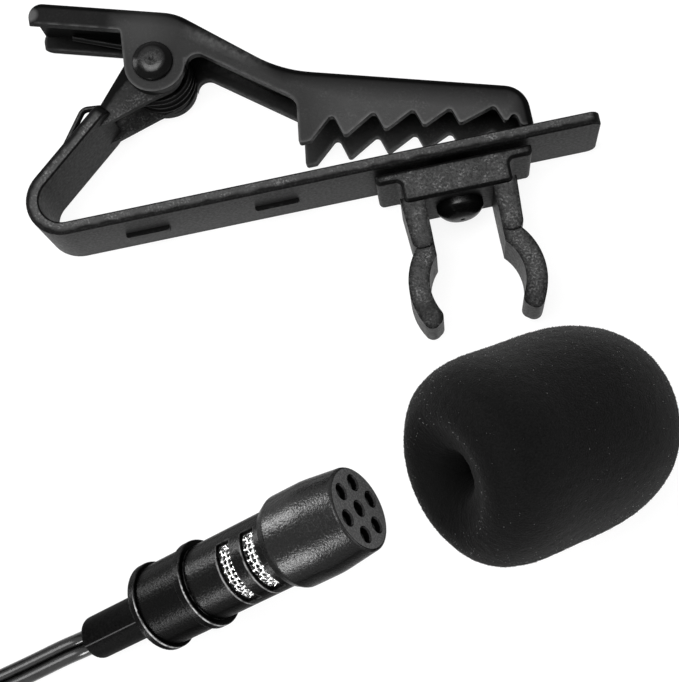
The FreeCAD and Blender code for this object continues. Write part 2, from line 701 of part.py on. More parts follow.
def make_mic_holder():
    body = new_body("mic_holder")
    base_level = "(dim.strip_width - dim.holder_wide) / 2"
    arm_level = "(dim.strip_width - dim.arm_wide) / 2"
    half = "dim.holder_len / 2"
    block = "dim.holder_block / 2"
    base = [
        from_swivel(f"-{half}", "0"),
        from_swivel(f"-{half}", "dim.holder_wing", "dim.holder_edge * 1.1"),
        from_swivel(f"-{block}", "dim.holder_wing", "0.5"),
        from_swivel(f"-{block}", "dim.holder_deep", "dim.holder_edge * 1.1"),
        from_swivel(block, "dim.holder_deep", "dim.holder_edge * 1.1"),
        from_swivel(block, "dim.holder_wing", "0.5"),
        from_swivel(half, "dim.holder_wing", "dim.holder_edge * 1.1"),
        from_swivel(half, "0"),
    ]
    pad(body, outline(new_sketch(body, "XY_Plane", "base_profile", base_level), base), "base", "dim.holder_wide")
    low, high = num(base_level), num(f"{base_level} + dim.holder_wide")
    rounded(body, "base_edges", "dim.holder_edge", lambda edge: on_side(edge, low) or on_side(edge, high))
    end_round = "(dim.arm_out - dim.arm_taper - dim.throat / 2) * 0.4"
    for side, sign in (("left", "-"), ("right", "")):
        arm = [
            from_swivel(f"{sign}dim.throat / 2", "dim.holder_deep - 0.5"),
            from_swivel(f"{sign}dim.throat / 2", "dim.arm_step", end_round),
            from_swivel(f"{sign}(dim.arm_out - dim.arm_taper)", "dim.arm_step", end_round),
            from_swivel(f"{sign}dim.arm_out", "dim.holder_deep - 0.5"),
        ]
        sketch = outline(new_sketch(body, "XY_Plane", f"{side}_arm_profile", arm_level), arm)
        pad(body, sketch, f"{side}_arm", "dim.arm_wide")
    centre = from_swivel("0", "dim.bore_drop")
    ring = new_sketch(body, "XY_Plane", "ring_profile", "(dim.strip_width - dim.ring_wide) / 2")
    round_mark(ring, *centre, "dim.bore_radius + dim.arm_thick")
    pad(body, ring, "ring", "dim.ring_wide")
    bore = round_mark(new_sketch(body, "XY_Plane", "bore_profile"), *centre, "dim.bore_radius")
    pad(body, bore, "bore", "dim.strip_width", "Pocket")
    throat = [
        from_swivel("-dim.throat / 2", "dim.holder_deep", "0.5"),
        from_swivel("-dim.throat / 2", "dim.bore_drop"),
        from_swivel("dim.throat / 2", "dim.bore_drop"),
        from_swivel("dim.throat / 2", "dim.holder_deep", "0.5"),
    ]
    sketch = outline(new_sketch(body, "XY_Plane", "throat_profile"), throat)
    pad(body, sketch, "throat_cut", "dim.strip_width", "Pocket")
    far = "2 * dim.bore_radius"
    mouth = [
        centre,
        from_swivel(f"-{far} * tan(dim.mouth_angle / 2)", f"dim.bore_drop + {far}"),
        from_swivel(f"{far} * tan(dim.mouth_angle / 2)", f"dim.bore_drop + {far}"),
    ]
    pad(body, outline(new_sketch(body, "XY_Plane", "mouth_profile"), mouth), "mouth", "dim.strip_width", "Pocket")
    sketch = new_sketch(body, "XZ_Plane", "swivel_hole_profile")
    round_mark(sketch, "dim.holder_x", "dim.strip_width / 2", "dim.swivel_shank / 2 + dim.hole_gap")
    pad(body, sketch, "swivel_hole", "dim.bore_drop", "Pocket")
    doc.recompute()
    centre_x, centre_y = num(centre[0]), num(centre[1])
    tip_far = num("dim.bore_radius + dim.arm_thick")

    def is_tip(edge):
        box = edge.BoundBox
        if box.ZLength < num("dim.ring_wide") - 0.01:
            return False
        away = Vector(box.Center.x - centre_x, box.Center.y - centre_y, 0)
        lean = math.degrees(math.atan2(abs(away.x), -away.y))
        on_rim = min(abs(away.Length - tip_far), abs(away.Length - num("dim.bore_radius"))) < 0.02
        return on_rim and abs(lean - num("dim.mouth_angle") / 2) < 1

    rounded(body, "tips", "dim.arm_thick * 0.4", is_tip)
    seat_y = "-dim.strip_thick / 2 - dim.holder_seat"
    for side, sign in (("near", "+"), ("far", "-")):
        face = f"dim.strip_width / 2 {sign} dim.ring_wide / 2"
        wedge = [
            (f"{seat_y} - dim.bore_drop - 1.0", face),
            (f"{seat_y} - dim.bore_drop - dim.bore_radius - 1.0", f"{face} {MINUS[sign]} dim.tip_slope"),
            (f"{seat_y} - dim.bore_drop - dim.bore_radius - 1.0", f"{face} {sign} 0.5"),
            (f"{seat_y} - dim.bore_drop - 1.0", f"{face} {sign} 0.5"),
        ]
        level = "dim.holder_x - 2 * dim.bore_radius"
        sketch = outline(new_sketch(body, "YZ_Plane", f"{side}_slope_profile", level), wedge)
        pad(body, sketch, f"{side}_slope", "4 * dim.bore_radius", "Pocket")
    return body


def make_washer():
    body = new_body("swivel_washer")
    sketch = new_sketch(body, "XZ_Plane", "washer_profile", "dim.strip_thick / 2")
    middle = ("dim.holder_x", "dim.strip_width / 2")
    round_mark(sketch, *middle, "dim.boss_radius")
    round_mark(sketch, *middle, "dim.swivel_shank / 2 + dim.hole_gap")
    pad(body, sketch, "washer", "dim.holder_seat")
    return body


mic_holder = keep(make_mic_holder())
swivel_washer = keep(make_washer())
holder_rivet = keep(domed_rivet("holder_rivet", "dim.swivel_shank", "dim.swivel_head", "dim.swivel_rise",
                                "(dim.strip_thick + dim.holder_seat + dim.holder_deep)"))
holder_rivet.Placement = on_axis("dim.holder_x", "dim.strip_thick / 2", "dim.strip_width / 2", Vector(0, -1, 0))


# Microphone, built along X from its face at zero to the end of its sleeve,
# then laid down: its stiff lead holds it up by the end of its sleeve.

def ring_corners(near, far, outer, inner, edge=None):
    """A plain ring or, with no inner radius, a plain disc."""
    corners = [(near, inner), (near, outer), (far, outer), (far, inner)]
    if edge:
        corners[1] += (edge,)
        corners[2] += (edge,)
    return corners


def make_front_cap():
    body = new_body("front_cap")
    bore = "dim.body_radius + dim.mic_fit"
    turned(body, "cap_shell", [
        ("0", "0"),
        ("0", "dim.face_radius", "0.25"),
        ("dim.cap_swell", "dim.cap_radius", "9.0"),
        ("dim.cap_len - dim.cap_lip", "dim.cap_radius", "0.6"),
        ("dim.cap_len", "dim.cap_radius - dim.cap_rear", "0.12"),
        ("dim.cap_len", bore),
        ("dim.cap_seat", bore),
        ("dim.cap_seat", "dim.capsule_room"),
        ("dim.cap_face", "dim.capsule_room"),
        ("dim.cap_face", "0"),
    ])
    sketch = new_sketch(body, "YZ_Plane", "sound_hole_profile")
    round_mark(sketch, "0", "0", "dim.hole_radius")
    for index in range(6):
        angle = f"({60 * index} + dim.hole_turn)"
        round_mark(sketch, f"dim.hole_ring * cos{angle}", f"dim.hole_ring * sin{angle}", "dim.hole_radius")
    pad(body, sketch, "sound_holes", "dim.cap_face", "Pocket")

    def is_hole_rim(edge):
        """A sound hole's outer edge, on the cap's face."""
        box = edge.BoundBox
        return box.XMax < 1e-4 and abs(box.YLength - 2 * num("dim.hole_radius")) < 1e-3

    rounded(body, "hole_rims", "dim.hole_edge", is_hole_rim, "Chamfer")
    return body


def make_body_shell():
    body = new_body("body_shell")
    turned(body, "shell_tube", ring_corners(
        "dim.cap_seat + dim.mic_fit", "dim.collar_at", "dim.body_radius", "dim.body_radius - dim.body_wall"))
    for row in range(2):
        middle = f"dim.window_first + {row} * dim.window_pitch"
        for index in range(int(num("dim.window_count"))):
            name = f"window_{row + 1}_{index + 1}"
            sketch = new_sketch(body, "XY_Plane", f"{name}_profile")
            outline(sketch, [
                (f"{middle} - dim.window_wide / 2", "dim.body_radius - dim.body_wall - 0.2"),
                (f"{middle} - dim.window_wide / 2", "dim.body_radius + 0.5"),
                (f"{middle} + dim.window_wide / 2", "dim.body_radius + 0.5"),
                (f"{middle} + dim.window_wide / 2", "dim.body_radius - dim.body_wall - 0.2"),
            ])
            turn = f"dim.window_turn + {index} * 360 / dim.window_count"
            groove = body.newObject("PartDesign::Groove", name)
            groove.Profile = sketch
            groove.ReferenceAxis = (sketch, ["H_Axis"])
            groove.Type = "TwoAngles"
            bind(groove, "Angle", f"{turn} + dim.window_arc")
            bind(groove, "Angle2", f"-({turn})")
            doc.recompute()
    return body


def simple_turned(name, corners):
    body = new_body(name)
    turned(body, f"{name}_body", corners)
    return body


def make_rear_collar():
    rim = "0.12"
    seat = "dim.collar_at + dim.collar_len"
    tail = f"{seat} + dim.groove_len"
    return simple_turned("rear_collar", [
        ("dim.collar_at - dim.collar_spigot", "dim.body_radius - dim.body_wall - dim.mic_fit"),
        ("dim.collar_at", "dim.body_radius - dim.body_wall - dim.mic_fit"),
        ("dim.collar_at", "dim.collar_radius", rim),
        (seat, "dim.collar_radius", rim),
        (seat, "dim.groove_radius"),
        (tail, "dim.groove_radius"),
        (tail, "dim.flange_radius", rim),
        (f"{tail} + dim.flange_len", "dim.flange_radius", rim),
        (f"{tail} + dim.flange_len", "dim.crimp_radius"),
        ("dim.collar_at - dim.collar_spigot", "dim.crimp_radius"),
    ])


SLEEVE_AT = "(dim.collar_at + dim.collar_len + dim.groove_len + dim.flange_len)"
SLEEVE_END = f"({SLEEVE_AT} + dim.sleeve_len)"
CAPSULE_AT = "(dim.cap_face + dim.felt_thick)"
BOARD_AT = f"({CAPSULE_AT} + dim.capsule_len)"


def make_inner_wire(name, side):
    body = new_body(name)
    level = f"{BOARD_AT} + dim.board_thick"
    sketch = new_sketch(body, "YZ_Plane", f"{name}_profile", level)
    round_mark(sketch, f"{side} * dim.wire_spread", "0", "dim.wire_radius")
    pad(body, sketch, f"{name}_run", f"dim.collar_at - dim.collar_spigot - ({level})")
    return body


mic_heading = Vector(
    -math.cos(math.radians(num("dim.mic_pitch"))) * math.cos(math.radians(num("dim.mic_turn"))),
    -math.cos(math.radians(num("dim.mic_pitch"))) * math.sin(math.radians(num("dim.mic_turn"))),
    -math.sin(math.radians(num("dim.mic_pitch"))),
)
tail_height = num("(dim.sleeve_radius - dim.sleeve_edge) * cos(dim.mic_pitch) + dim.sleeve_edge + dim.mic_lift")
tail_back = num("dim.sleeve_edge") * mic_heading
sleeve_end = Vector(num("-dim.mic_x"), num("-dim.mic_y"), tail_height) + tail_back
mic_face = sleeve_end - mic_heading * num(SLEEVE_END)
mic_across = Vector(0, 0, 1).cross(mic_heading).normalize()
mic_up = mic_heading.cross(mic_across)
mic_place = Placement(Matrix(
    mic_heading.x, mic_across.x, mic_up.x, mic_face.x,
    mic_heading.y, mic_across.y, mic_up.y, mic_face.y,
    mic_heading.z, mic_across.z, mic_up.z, mic_face.z,
    0, 0, 0, 1,
))
print("face centre", mic_face, "sleeve end", sleeve_end)

MIC_PARTS = [
    make_front_cap(),
    make_body_shell(),
    make_rear_collar(),
    simple_turned("mesh_screen", ring_corners(
        "dim.window_first - dim.window_pitch / 2", "dim.window_first + 1.5 * dim.window_pitch",
        "dim.body_radius - dim.body_wall - dim.mic_fit",
        "dim.body_radius - dim.body_wall - dim.mic_fit - dim.mesh_thick")),
    simple_turned("acoustic_felt", ring_corners("dim.cap_face", CAPSULE_AT, "dim.capsule_room - dim.mic_fit", "0")),
    simple_turned("capsule", ring_corners(CAPSULE_AT, BOARD_AT, "dim.capsule_radius", "0", "0.15")),
    simple_turned("capsule_gasket", ring_corners(
        f"{CAPSULE_AT} + 0.3", f"{BOARD_AT} - 0.3", "dim.capsule_room", "dim.capsule_radius")),
    simple_turned("capsule_board", ring_corners(BOARD_AT, f"{BOARD_AT} + dim.board_thick", "dim.capsule_radius", "0")),
    make_inner_wire("signal_wire", "1"),
    make_inner_wire("shield_wire", "-1"),
    simple_turned("cord_crimp", ring_corners(
        "dim.collar_at - dim.collar_spigot", SLEEVE_AT, "dim.crimp_radius", "0")),
    simple_turned("strain_relief", [
        (SLEEVE_AT, "0"),
        (SLEEVE_AT, "dim.sleeve_radius + 0.25"),
        (f"{SLEEVE_AT} + 0.7", "dim.sleeve_radius + 0.2", "0.3"),
        (f"{SLEEVE_AT} + 1.2", "dim.sleeve_radius", "0.3"),
        (SLEEVE_END, "dim.sleeve_radius", "dim.sleeve_edge"),
        (SLEEVE_END, "0"),
    ]),
]
for piece in MIC_PARTS:
    keep(piece, mic_place)


# Foam windscreen: a soft egg with a bore for the microphone, lying on its belly.

BELLY_AT = 0.38


def make_windscreen():
    long, wide = num("dim.foam_len"), num("dim.foam_radius")
    mouth, bore = num("dim.foam_mouth"), num("dim.foam_bore")
    belly = Vector(long * BELLY_AT, wide, 0)
    shoulder = Vector(long * 0.125, wide * 0.93, 0)
    haunch = Vector(long * 0.78, wide * 0.88, 0)
    crest = Vector(long * 0.955, wide * 0.42, 0)
    front = Part.BSplineCurve()
    front.interpolate(
        Points=[Vector(0, mouth, 0), shoulder, belly],
        Tangents=[Vector(0.5, 1, 0), Vector(1, 0.35, 0), Vector(1, 0, 0)],
        TangentFlags=[True, True, True])
    crown = Part.BSplineCurve()
    crown.interpolate(
        Points=[belly, haunch, crest, Vector(long, 0, 0)],
        Tangents=[Vector(1, 0, 0), Vector(1, -0.4, 0), Vector(1, -2, 0), Vector(0, -1, 0)],
        TangentFlags=[True, False, False, True])
    depth = num("dim.foam_deep")
    lip = num("dim.foam_lip")
    corners = [
        Vector(long, 0, 0),
        Vector(depth, 0, 0),
        Vector(depth, bore, 0),
        Vector(lip, bore, 0),
    ]
    sides = [Part.LineSegment(a, b) for a, b in zip(corners, corners[1:])]
    hollow = Vector(lip * (1 - math.sqrt(0.5)), bore + lip * (1 - math.sqrt(0.5)), 0)
    rim = Part.Arc(corners[-1], hollow, Vector(0, bore + lip, 0))
    face = Part.LineSegment(Vector(0, bore + lip, 0), Vector(0, mouth, 0))
    profile = Part.Wire([side.toShape() for side in [front, crown] + sides + [rim, face]])
    return Part.Face(profile).revolve(Vector(0, 0, 0), Vector(1, 0, 0), 360)


windscreen = keep(feature_of("windscreen", make_windscreen()))
foam_turn = Rotation(Vector(0, 0, 1), num("dim.foam_turn")) * Rotation(Vector(0, 1, 0), num("dim.foam_pitch"))
foam_middle = Vector(num("dim.foam_x"), -num("dim.foam_y"), 0)
foam_start = foam_middle - foam_turn.multVec(Vector(num("dim.foam_len") / 2, 0, 0))
windscreen.Placement = Placement(foam_start, foam_turn)
lowest = windscreen.Shape.optimalBoundingBox(False, False).ZMin
windscreen.Placement = Placement(foam_start - Vector(0, 0, lowest), foam_turn)
print("windscreen axis height", round(foam_middle.z - lowest, 2))


# Twin lead: its free stretch, a neat coil with a tie, and a plug beside the coil.

lead_radius = num("dim.lead") / 2
coil_base = lead_radius + num("dim.tie_thick + dim.tie_gap")
ring_step = num("dim.lead + dim.ring_gap")
layer_step = num("dim.lead + dim.layer_gap")
coil_middle = Vector(-num("dim.coil_x"), -num("dim.coil_y"), coil_base)
outer_ring = num("dim.loop_outer")


def coil_spots():
    """Knots of the coil, a quarter turn apart: position and direction."""
    quarters = []
    layers = int(num("dim.loop_layers"))
    for layer in range(layers):
        turns = num("dim.loop_turns") if layer < layers - 1 else num("dim.last_turns")
        inward = -1 if layer % 2 == 0 else 1
        quarters += [(inward * ring_step / 4, 0)] * round(turns * 4)
        if layer < layers - 1:
            quarters += [(0, layer_step / 2)] * 2
    radius, height, angle = outer_ring, 0, -math.pi / 2
    spots = []
    for index in range(len(quarters) + 1):
        before = quarters[max(index - 1, 0)]
        after = quarters[min(index, len(quarters) - 1)]
        ends = index in (0, len(quarters))
        out = 0 if ends else (before[0] + after[0]) / 2
        rise = 0 if ends or before[1] != after[1] else after[1]
        spread = Vector(math.cos(angle), math.sin(angle), 0)
        across = Vector(math.sin(angle), -math.cos(angle), 0)
        heading = across * (radius * math.pi / 2) + spread * out + Vector(0, 0, rise)
        spot = coil_middle + spread * radius + Vector(0, 0, height)
        spots.append((spot, heading.normalize()))
        if index < len(quarters):
            radius += quarters[index][0]
            height += quarters[index][1]
            angle -= math.pi / 2
    return spots


def coil_route():
    spots = coil_spots()
    first, first_heading = spots[0]
    last, last_heading = spots[-1]
    stub = num("dim.lead")
    pieces = [Part.LineSegment(first - first_heading * stub, first)]
    for (start, leaving), (end, arriving) in zip(spots, spots[1:]):
        pieces += biarc(start, leaving, end, arriving)
    pieces.append(Part.LineSegment(last, last + last_heading * stub))
    return pieces, first - first_heading * stub, last + last_heading * stub


def least_gap(pieces, thick, samples):
    """Nearest that a route comes to itself, away from its own run."""
    spots = []
    travelled = 0.0
    for piece in pieces:
        shape = piece.toShape()
        count = max(2, round(shape.Length / samples))
        for index in range(count):
            spots.append((travelled + shape.Length * index / count, shape.discretize(count + 1)[index]))
        travelled += shape.Length
    nearest = 1e9
    for i, (here, spot) in enumerate(spots):
        for there, other in spots[i + 1:]:
            if there - here > 6 * thick:
                nearest = min(nearest, spot.distanceToPoint(other))
    return nearest - thick, travelled


def lead_tube(name, points):
    """A free stretch: straight runs with arcs as large as the runs allow."""
    radii = []
    for before, spot, after in zip(points, points[1:], points[2:]):
        back = (before - spot)
        ahead = (after - spot)
        run = min(back.Length, ahead.Length)
        turn = math.pi - back.getAngle(ahead)
        radii.append(0.45 * run / math.tan(turn / 2))
    pieces = bent_path(points, radii)
    shape = tube(pieces, lead_radius)
    length = sum(piece.toShape().Length for piece in pieces)
    print(name, "radii", [round(r, 1) for r in radii], "length", round(length, 1),
          "volume", round(shape.Volume, 1), "section x length", round(math.pi * lead_radius ** 2 * length, 1))
    return keep(feature_of(name, shape)), length


coil_pieces, coil_start, coil_end = coil_route()
coil_clear, coil_length = least_gap(coil_pieces, num("dim.lead"), 3.0)
print("coil least gap", round(coil_clear, 2), "length", round(coil_length))

dip = sleeve_end - mic_heading * ((sleeve_end.z - lead_radius) / mic_heading.z)
landing = dip + Vector(mic_heading.x, mic_heading.y, 0).normalize() * 1.7
LEAD_POINTS = [
    sleeve_end,
    dip,
    landing,
    Vector(-32.2, -35.9, lead_radius),
    Vector(-38.4, -37.35, lead_radius),
    Vector(-45.0, -38.4, (lead_radius + coil_base) / 2),
    coil_start - Vector(-5.5, 0, 0),
    coil_start,
]
cord_lead, lead_length = lead_tube("cord_lead", LEAD_POINTS)
cord_coil = keep(feature_of("cord_coil", tube(coil_pieces, lead_radius)))


def make_coil_tie():
    """A soft strap round the coil's bundle, a rounded ring with its gap."""
    layers = num("dim.loop_layers")
    inner_ring = outer_ring - num("dim.loop_turns") * ring_step
    gap = num("dim.tie_gap")
    wall = num("dim.tie_thick")
    wide = num("dim.tie_wide")
    inside_turn = inner_ring - lead_radius
    bow = inside_turn - math.sqrt(inside_turn ** 2 - (wide / 2) ** 2)
    low = Vector(inside_turn - bow - gap, 0, coil_base - lead_radius - gap)
    across = outer_ring + lead_radius + gap - low.x
    high = (layers - 1) * layer_step + 2 * (lead_radius + gap)
    outside = Part.makeBox(across + 2 * wall, wide, high + 2 * wall, low - Vector(wall, wide / 2, wall))
    inside = Part.makeBox(across, wide, high, low - Vector(0, wide / 2, 0))
    sides = [edge for edge in outside.Edges if edge.BoundBox.YLength > wide - 0.01]
    outside = outside.makeFillet(wall * 0.9, sides)
    return outside.cut(inside)


coil_tie = keep(feature_of("coil_tie", make_coil_tie()))
coil_tie.Placement = Placement(
    Vector(coil_middle.x, coil_middle.y, 0), Rotation(Vector(0, 0, 1), num("dim.tie_turn")))

tail_run = num("dim.tail_run")
boot_at = coil_end + Vector(0, tail_run, 0)
boot_at.z = num("dim.barrel_radius")
TAIL_POINTS = [
    coil_end,
    coil_end + Vector(0, tail_run * 0.22, 0),
    Vector(coil_end.x - 1.2, coil_end.y + tail_run * 0.5, (coil_end.z + boot_at.z) / 2),
    Vector(coil_end.x, coil_end.y + tail_run * 0.78, boot_at.z),
    boot_at,
]
cord_tail, tail_length = lead_tube("cord_tail", TAIL_POINTS)
print("cord length", round(lead_length + coil_length + tail_length))

plug_place = Placement(boot_at, Rotation(Vector(0, 0, 1), 90))
BARREL_AT = "dim.boot_len"
PLUG_AT = "(dim.boot_len + dim.barrel_len)"
PLUG_PARTS = [
    simple_turned("plug_boot", [
        ("0", "0"),
        ("0", "dim.lead / 2 + 0.5", "0.2"),
        (BARREL_AT, "dim.barrel_radius - 1.0"),
        (BARREL_AT, "0"),
    ]),
    simple_turned("plug_barrel", ring_corners(BARREL_AT, PLUG_AT, "dim.barrel_radius", "0", "0.5")),
]


BANDS = "(dim.tip_len + 3 * dim.plug_band + 2 * dim.ring_band)"
first_gap = f"({PLUG_AT} + dim.plug_len - {BANDS})"
bands = [("plug_sleeve_contact", PLUG_AT, first_gap)]
insulators = []
start = first_gap
for index in range(3):
    stop = f"({start} + dim.plug_band)"
    insulators.append((f"plug_insulator_{index + 1}", start, stop))
    if index < 2:
        bands.append((f"plug_ring_{index + 1}", stop, f"({stop} + dim.ring_band)"))
        start = f"({stop} + dim.ring_band)"
    else:
        start = stop
for name, near, far in bands + insulators:
    PLUG_PARTS.append(simple_turned(name, ring_corners(near, far, "dim.plug_radius", "0")))
PLUG_PARTS.append(simple_turned("plug_tip", [
    (start, "0"),
    (start, "dim.plug_radius"),
    (f"{start} + 0.5", "dim.plug_radius"),
    (f"{start} + 1.1", "dim.plug_radius * 0.72", "0.3"),
    (f"{PLUG_AT} + dim.plug_len - 1.5", "dim.plug_radius * 0.97", "0.4"),
    (f"{PLUG_AT} + dim.plug_len", "dim.plug_radius * 0.25", "0.1"),
    (f"{PLUG_AT} + dim.plug_len", "0"),
]))
for piece in PLUG_PARTS:
    keep(piece, plug_place)


doc.recompute()
for thing in doc.Objects:
    if "Invalid" in thing.State or "Error" in thing.State:
        raise ValueError(f"{thing.Label} did not recompute")
for node in NODES:
    if node.Shape.isNull() or not node.Shape.isValid():
        raise ValueError(f"{node.Label} has no valid shape")

os.makedirs("parts", exist_ok=True)
for node in NODES:
    node.Shape.exportStep(f"parts/{node.Label}.step")
    print(node.Label, round(node.Shape.Volume, 1))
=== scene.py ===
import bpy
import math
import random
from mathutils import Matrix, Vector, noise


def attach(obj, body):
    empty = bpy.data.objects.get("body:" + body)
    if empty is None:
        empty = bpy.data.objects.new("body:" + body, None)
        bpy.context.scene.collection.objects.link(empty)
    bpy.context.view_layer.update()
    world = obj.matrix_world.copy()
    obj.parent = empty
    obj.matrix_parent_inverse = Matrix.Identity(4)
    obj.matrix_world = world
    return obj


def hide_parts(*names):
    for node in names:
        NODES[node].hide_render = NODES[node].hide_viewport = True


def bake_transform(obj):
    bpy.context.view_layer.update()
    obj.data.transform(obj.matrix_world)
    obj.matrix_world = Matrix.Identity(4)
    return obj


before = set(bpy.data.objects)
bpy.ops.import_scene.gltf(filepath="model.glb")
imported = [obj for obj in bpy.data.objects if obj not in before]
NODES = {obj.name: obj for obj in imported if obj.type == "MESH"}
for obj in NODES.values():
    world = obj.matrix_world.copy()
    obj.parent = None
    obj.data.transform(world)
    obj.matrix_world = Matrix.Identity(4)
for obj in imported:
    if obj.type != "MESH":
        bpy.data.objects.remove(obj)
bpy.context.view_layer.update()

# Lengths are in millimetres and turn into metres where a mesh, lamp or node takes them.
MM = 0.001
UP = Vector((0, 0, 1))

# The camera looks down on the table from the clip's near side. Its roll is in degrees.
CAMERA_PLACE = (4.384, -43.214, 134.125)
CAMERA_AIM = (-0.777, -13.172, 0.9)
CAMERA_ROLL = -21.1
CAMERA_LENS = 82.35
CAMERA_SENSOR = 36.0
CAMERA_NEAR = 5.0

# The microphone's axis runs from the face's middle to its tail.
FACE = Vector((-1.173, -29.607, 15.763))
TO_TAIL = Vector((-0.85855, -0.16688, -0.48481)).normalized()
# The windscreen's axis runs from the mouth's middle to its crown.
FOAM_MOUTH = Vector((5.216, -28.69, 14.725))
FOAM_AXIS = Vector((0.8567, 0.2136, -0.4695)).normalized()


def add_object(name, data):
    made = bpy.data.objects.new(name, data)
    bpy.context.scene.collection.objects.link(made)
    return made


def aimed(place, aim, roll=0.0):
    """The matrix of a camera or lamp that looks from a place at a spot, rolled by degrees."""
    place = Vector(place) * MM
    look = Vector(aim) * MM - place
    turn = look.to_track_quat("-Z", "Y").to_matrix()
    rolled = turn @ Matrix.Rotation(math.radians(roll), 3, "Z")
    return Matrix.Translation(place) @ rolled.to_4x4()


def mesh_of(name, points, faces):
    """A smooth mesh from points in millimetres."""
    mesh = bpy.data.meshes.new(name)
    mesh.from_pydata([tuple(Vector(p) * MM) for p in points], [], faces)
    mesh.validate()
    mesh.polygons.foreach_set("use_smooth", [True] * len(mesh.polygons))
    mesh.update()
    return mesh


def axes_across(axis):
    """Two directions square to an axis, the first of them level."""
    side = axis.cross(UP).normalized()
    return side, side.cross(axis)


def add_camera():
    data = bpy.data.cameras.new("camera")
    data.sensor_fit = "VERTICAL"
    data.sensor_height = CAMERA_SENSOR
    data.lens = CAMERA_LENS
    data.clip_start = CAMERA_NEAR * MM
    camera = add_object("camera", data)
    camera.matrix_world = aimed(CAMERA_PLACE, CAMERA_AIM, CAMERA_ROLL)
    bpy.context.scene.camera = camera


add_camera()
bpy.context.scene.view_settings.view_transform = "Standard"


# The cord: one route from the sleeve to the plug, as in the part's source.

LEAD = 2.2
LEAD_POINTS = [
    (-25.985, -34.430, 1.752),
    (-27.140, -34.655, 1.1),
    (-28.809, -34.979, 1.1),
    (-32.2, -35.9, 1.1),
    (-38.4, -37.35, 1.1),
    (-45.0, -38.4, 1.625),
    (-50.3, -38.2, 2.15),
]
TAIL_POINTS = [
    (-76.24, -12.16, 10.10),
    (-77.44, -6.0, 6.8),
    (-76.24, 0.16, 3.5),
    (-76.24, 5.0, 3.5),
]
COIL_MIDDLE = (-58.0, -19.2)
COIL_BASE = 2.15
COIL_RADIUS = 19.0
RING_STEP = 3.05
LAYER_STEP = 2.65
LAYER_TURNS = (3.0, 3.0, 3.0, 2.75)
TURN_POINTS = 16
LINE_STEPS = 5


def coil_points():
    """Turns that run in and out by turns, and climb to the next layer in half a turn."""
    steps = []
    inward = -1
    for layer, turns in enumerate(LAYER_TURNS):
        steps += [(inward * RING_STEP / TURN_POINTS, 0)] * round(turns * TURN_POINTS)
        if layer < len(LAYER_TURNS) - 1:
            steps += [(0, 2 * LAYER_STEP / TURN_POINTS)] * (TURN_POINTS // 2)
        inward = -inward
    radius, height, angle = COIL_RADIUS, 0.0, -math.pi / 2
    outset = 1 / math.cos(math.pi / TURN_POINTS)
    points = []
    for index in range(len(steps) + 1):
        reach = radius * outset
        x = COIL_MIDDLE[0] + reach * math.cos(angle)
        y = COIL_MIDDLE[1] + reach * math.sin(angle)
        points.append((x, y, COIL_BASE + height))
        if index < len(steps):
            radius += steps[index][0]
            height += steps[index][1]
            angle -= 2 * math.pi / TURN_POINTS
    return points


def cord_line():
    """Points along the smooth line that the route's control points give."""
    data = bpy.data.curves.new("cord_route", "CURVE")
    data.dimensions = "3D"
    data.resolution_u = LINE_STEPS
    spline = data.splines.new("NURBS")
    points = LEAD_POINTS + coil_points() + TAIL_POINTS
    spline.points.add(len(points) - 1)
    for point, spot in zip(spline.points, points):
        point.co = (spot[0] * MM, spot[1] * MM, spot[2] * MM, 1)
    spline.order_u = 3
    spline.use_endpoint_u = True
    route = add_object("cord_route", data)
    mesh = bpy.data.meshes.new_from_object(route)
    line = [v.co / MM for v in mesh.vertices]
    bpy.data.objects.remove(route)
    bpy.data.meshes.remove(mesh)
    return line


# The twin lead lies flat at first and twists from there on, one turn each twist length.
TWIN_CORE = 0.62
TWIN_SIDE = LEAD / 2 - TWIN_CORE
WEB_SHARE = 0.86
CORE_POINTS = 9
TWIST_FROM = 40.0
TWIST_LENGTH = 36.0


def twin_section():
    """Two round cores side by side, joined by a narrow web."""
    spots = []
    notch = math.acos(min(1, TWIN_SIDE / TWIN_CORE)) * WEB_SHARE
    for side in (1, -1):
        for step in range(CORE_POINTS):
            share = step / (CORE_POINTS - 1)
            angle = -(math.pi - notch) + share * 2 * (math.pi - notch)
            if side < 0:
                angle += math.pi
            across = side * TWIN_SIDE + TWIN_CORE * math.cos(angle)
            spots.append((across, TWIN_CORE * math.sin(angle)))
    return spots


def twist(run):
    """The section's angle at a length along the cord."""
    return max(0.0, run - TWIST_FROM) / TWIST_LENGTH * 2 * math.pi


def sweep(name, line, section, roll):
    """A closed tube of that section along a line, level unless roll turns it."""
    points, faces = [], []
    count = len(section)
    run = 0.0
    for index, spot in enumerate(line):
        before = line[max(index - 1, 0)]
        after = line[min(index + 1, len(line) - 1)]
        run += (spot - before).length
        ahead = (after - before).normalized()
        side, up = axes_across(ahead)
        angle = roll(run)
        wide = side * math.cos(angle) + up * math.sin(angle)
        tall = up * math.cos(angle) - side * math.sin(angle)
        points += [spot + wide * u + tall * v for u, v in section]
    for index in range(len(line) - 1):
        for k in range(count):
            a = index * count + k
            b = index * count + (k + 1) % count
            faces.append((a, b, b + count, a + count))
    faces.append(tuple(reversed(range(count))))
    faces.append(tuple(range(len(points) - count, len(points))))
    return mesh_of(name, points, faces)


CORD_LINE = cord_line()
CONTACTS = ["plug_sleeve_contact", "plug_ring_1", "plug_ring_2", "plug_tip"]
INSULATORS = ["plug_insulator_1", "plug_insulator_2", "plug_insulator_3"]

cord = add_object("cord", sweep("cord", CORD_LINE, twin_section(), twist))
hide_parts("cord_lead", "cord_coil", "cord_tail")
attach(cord, "clip_frame")


# Woven wire behind the microphone's windows: hoops round the axis and staves along it.

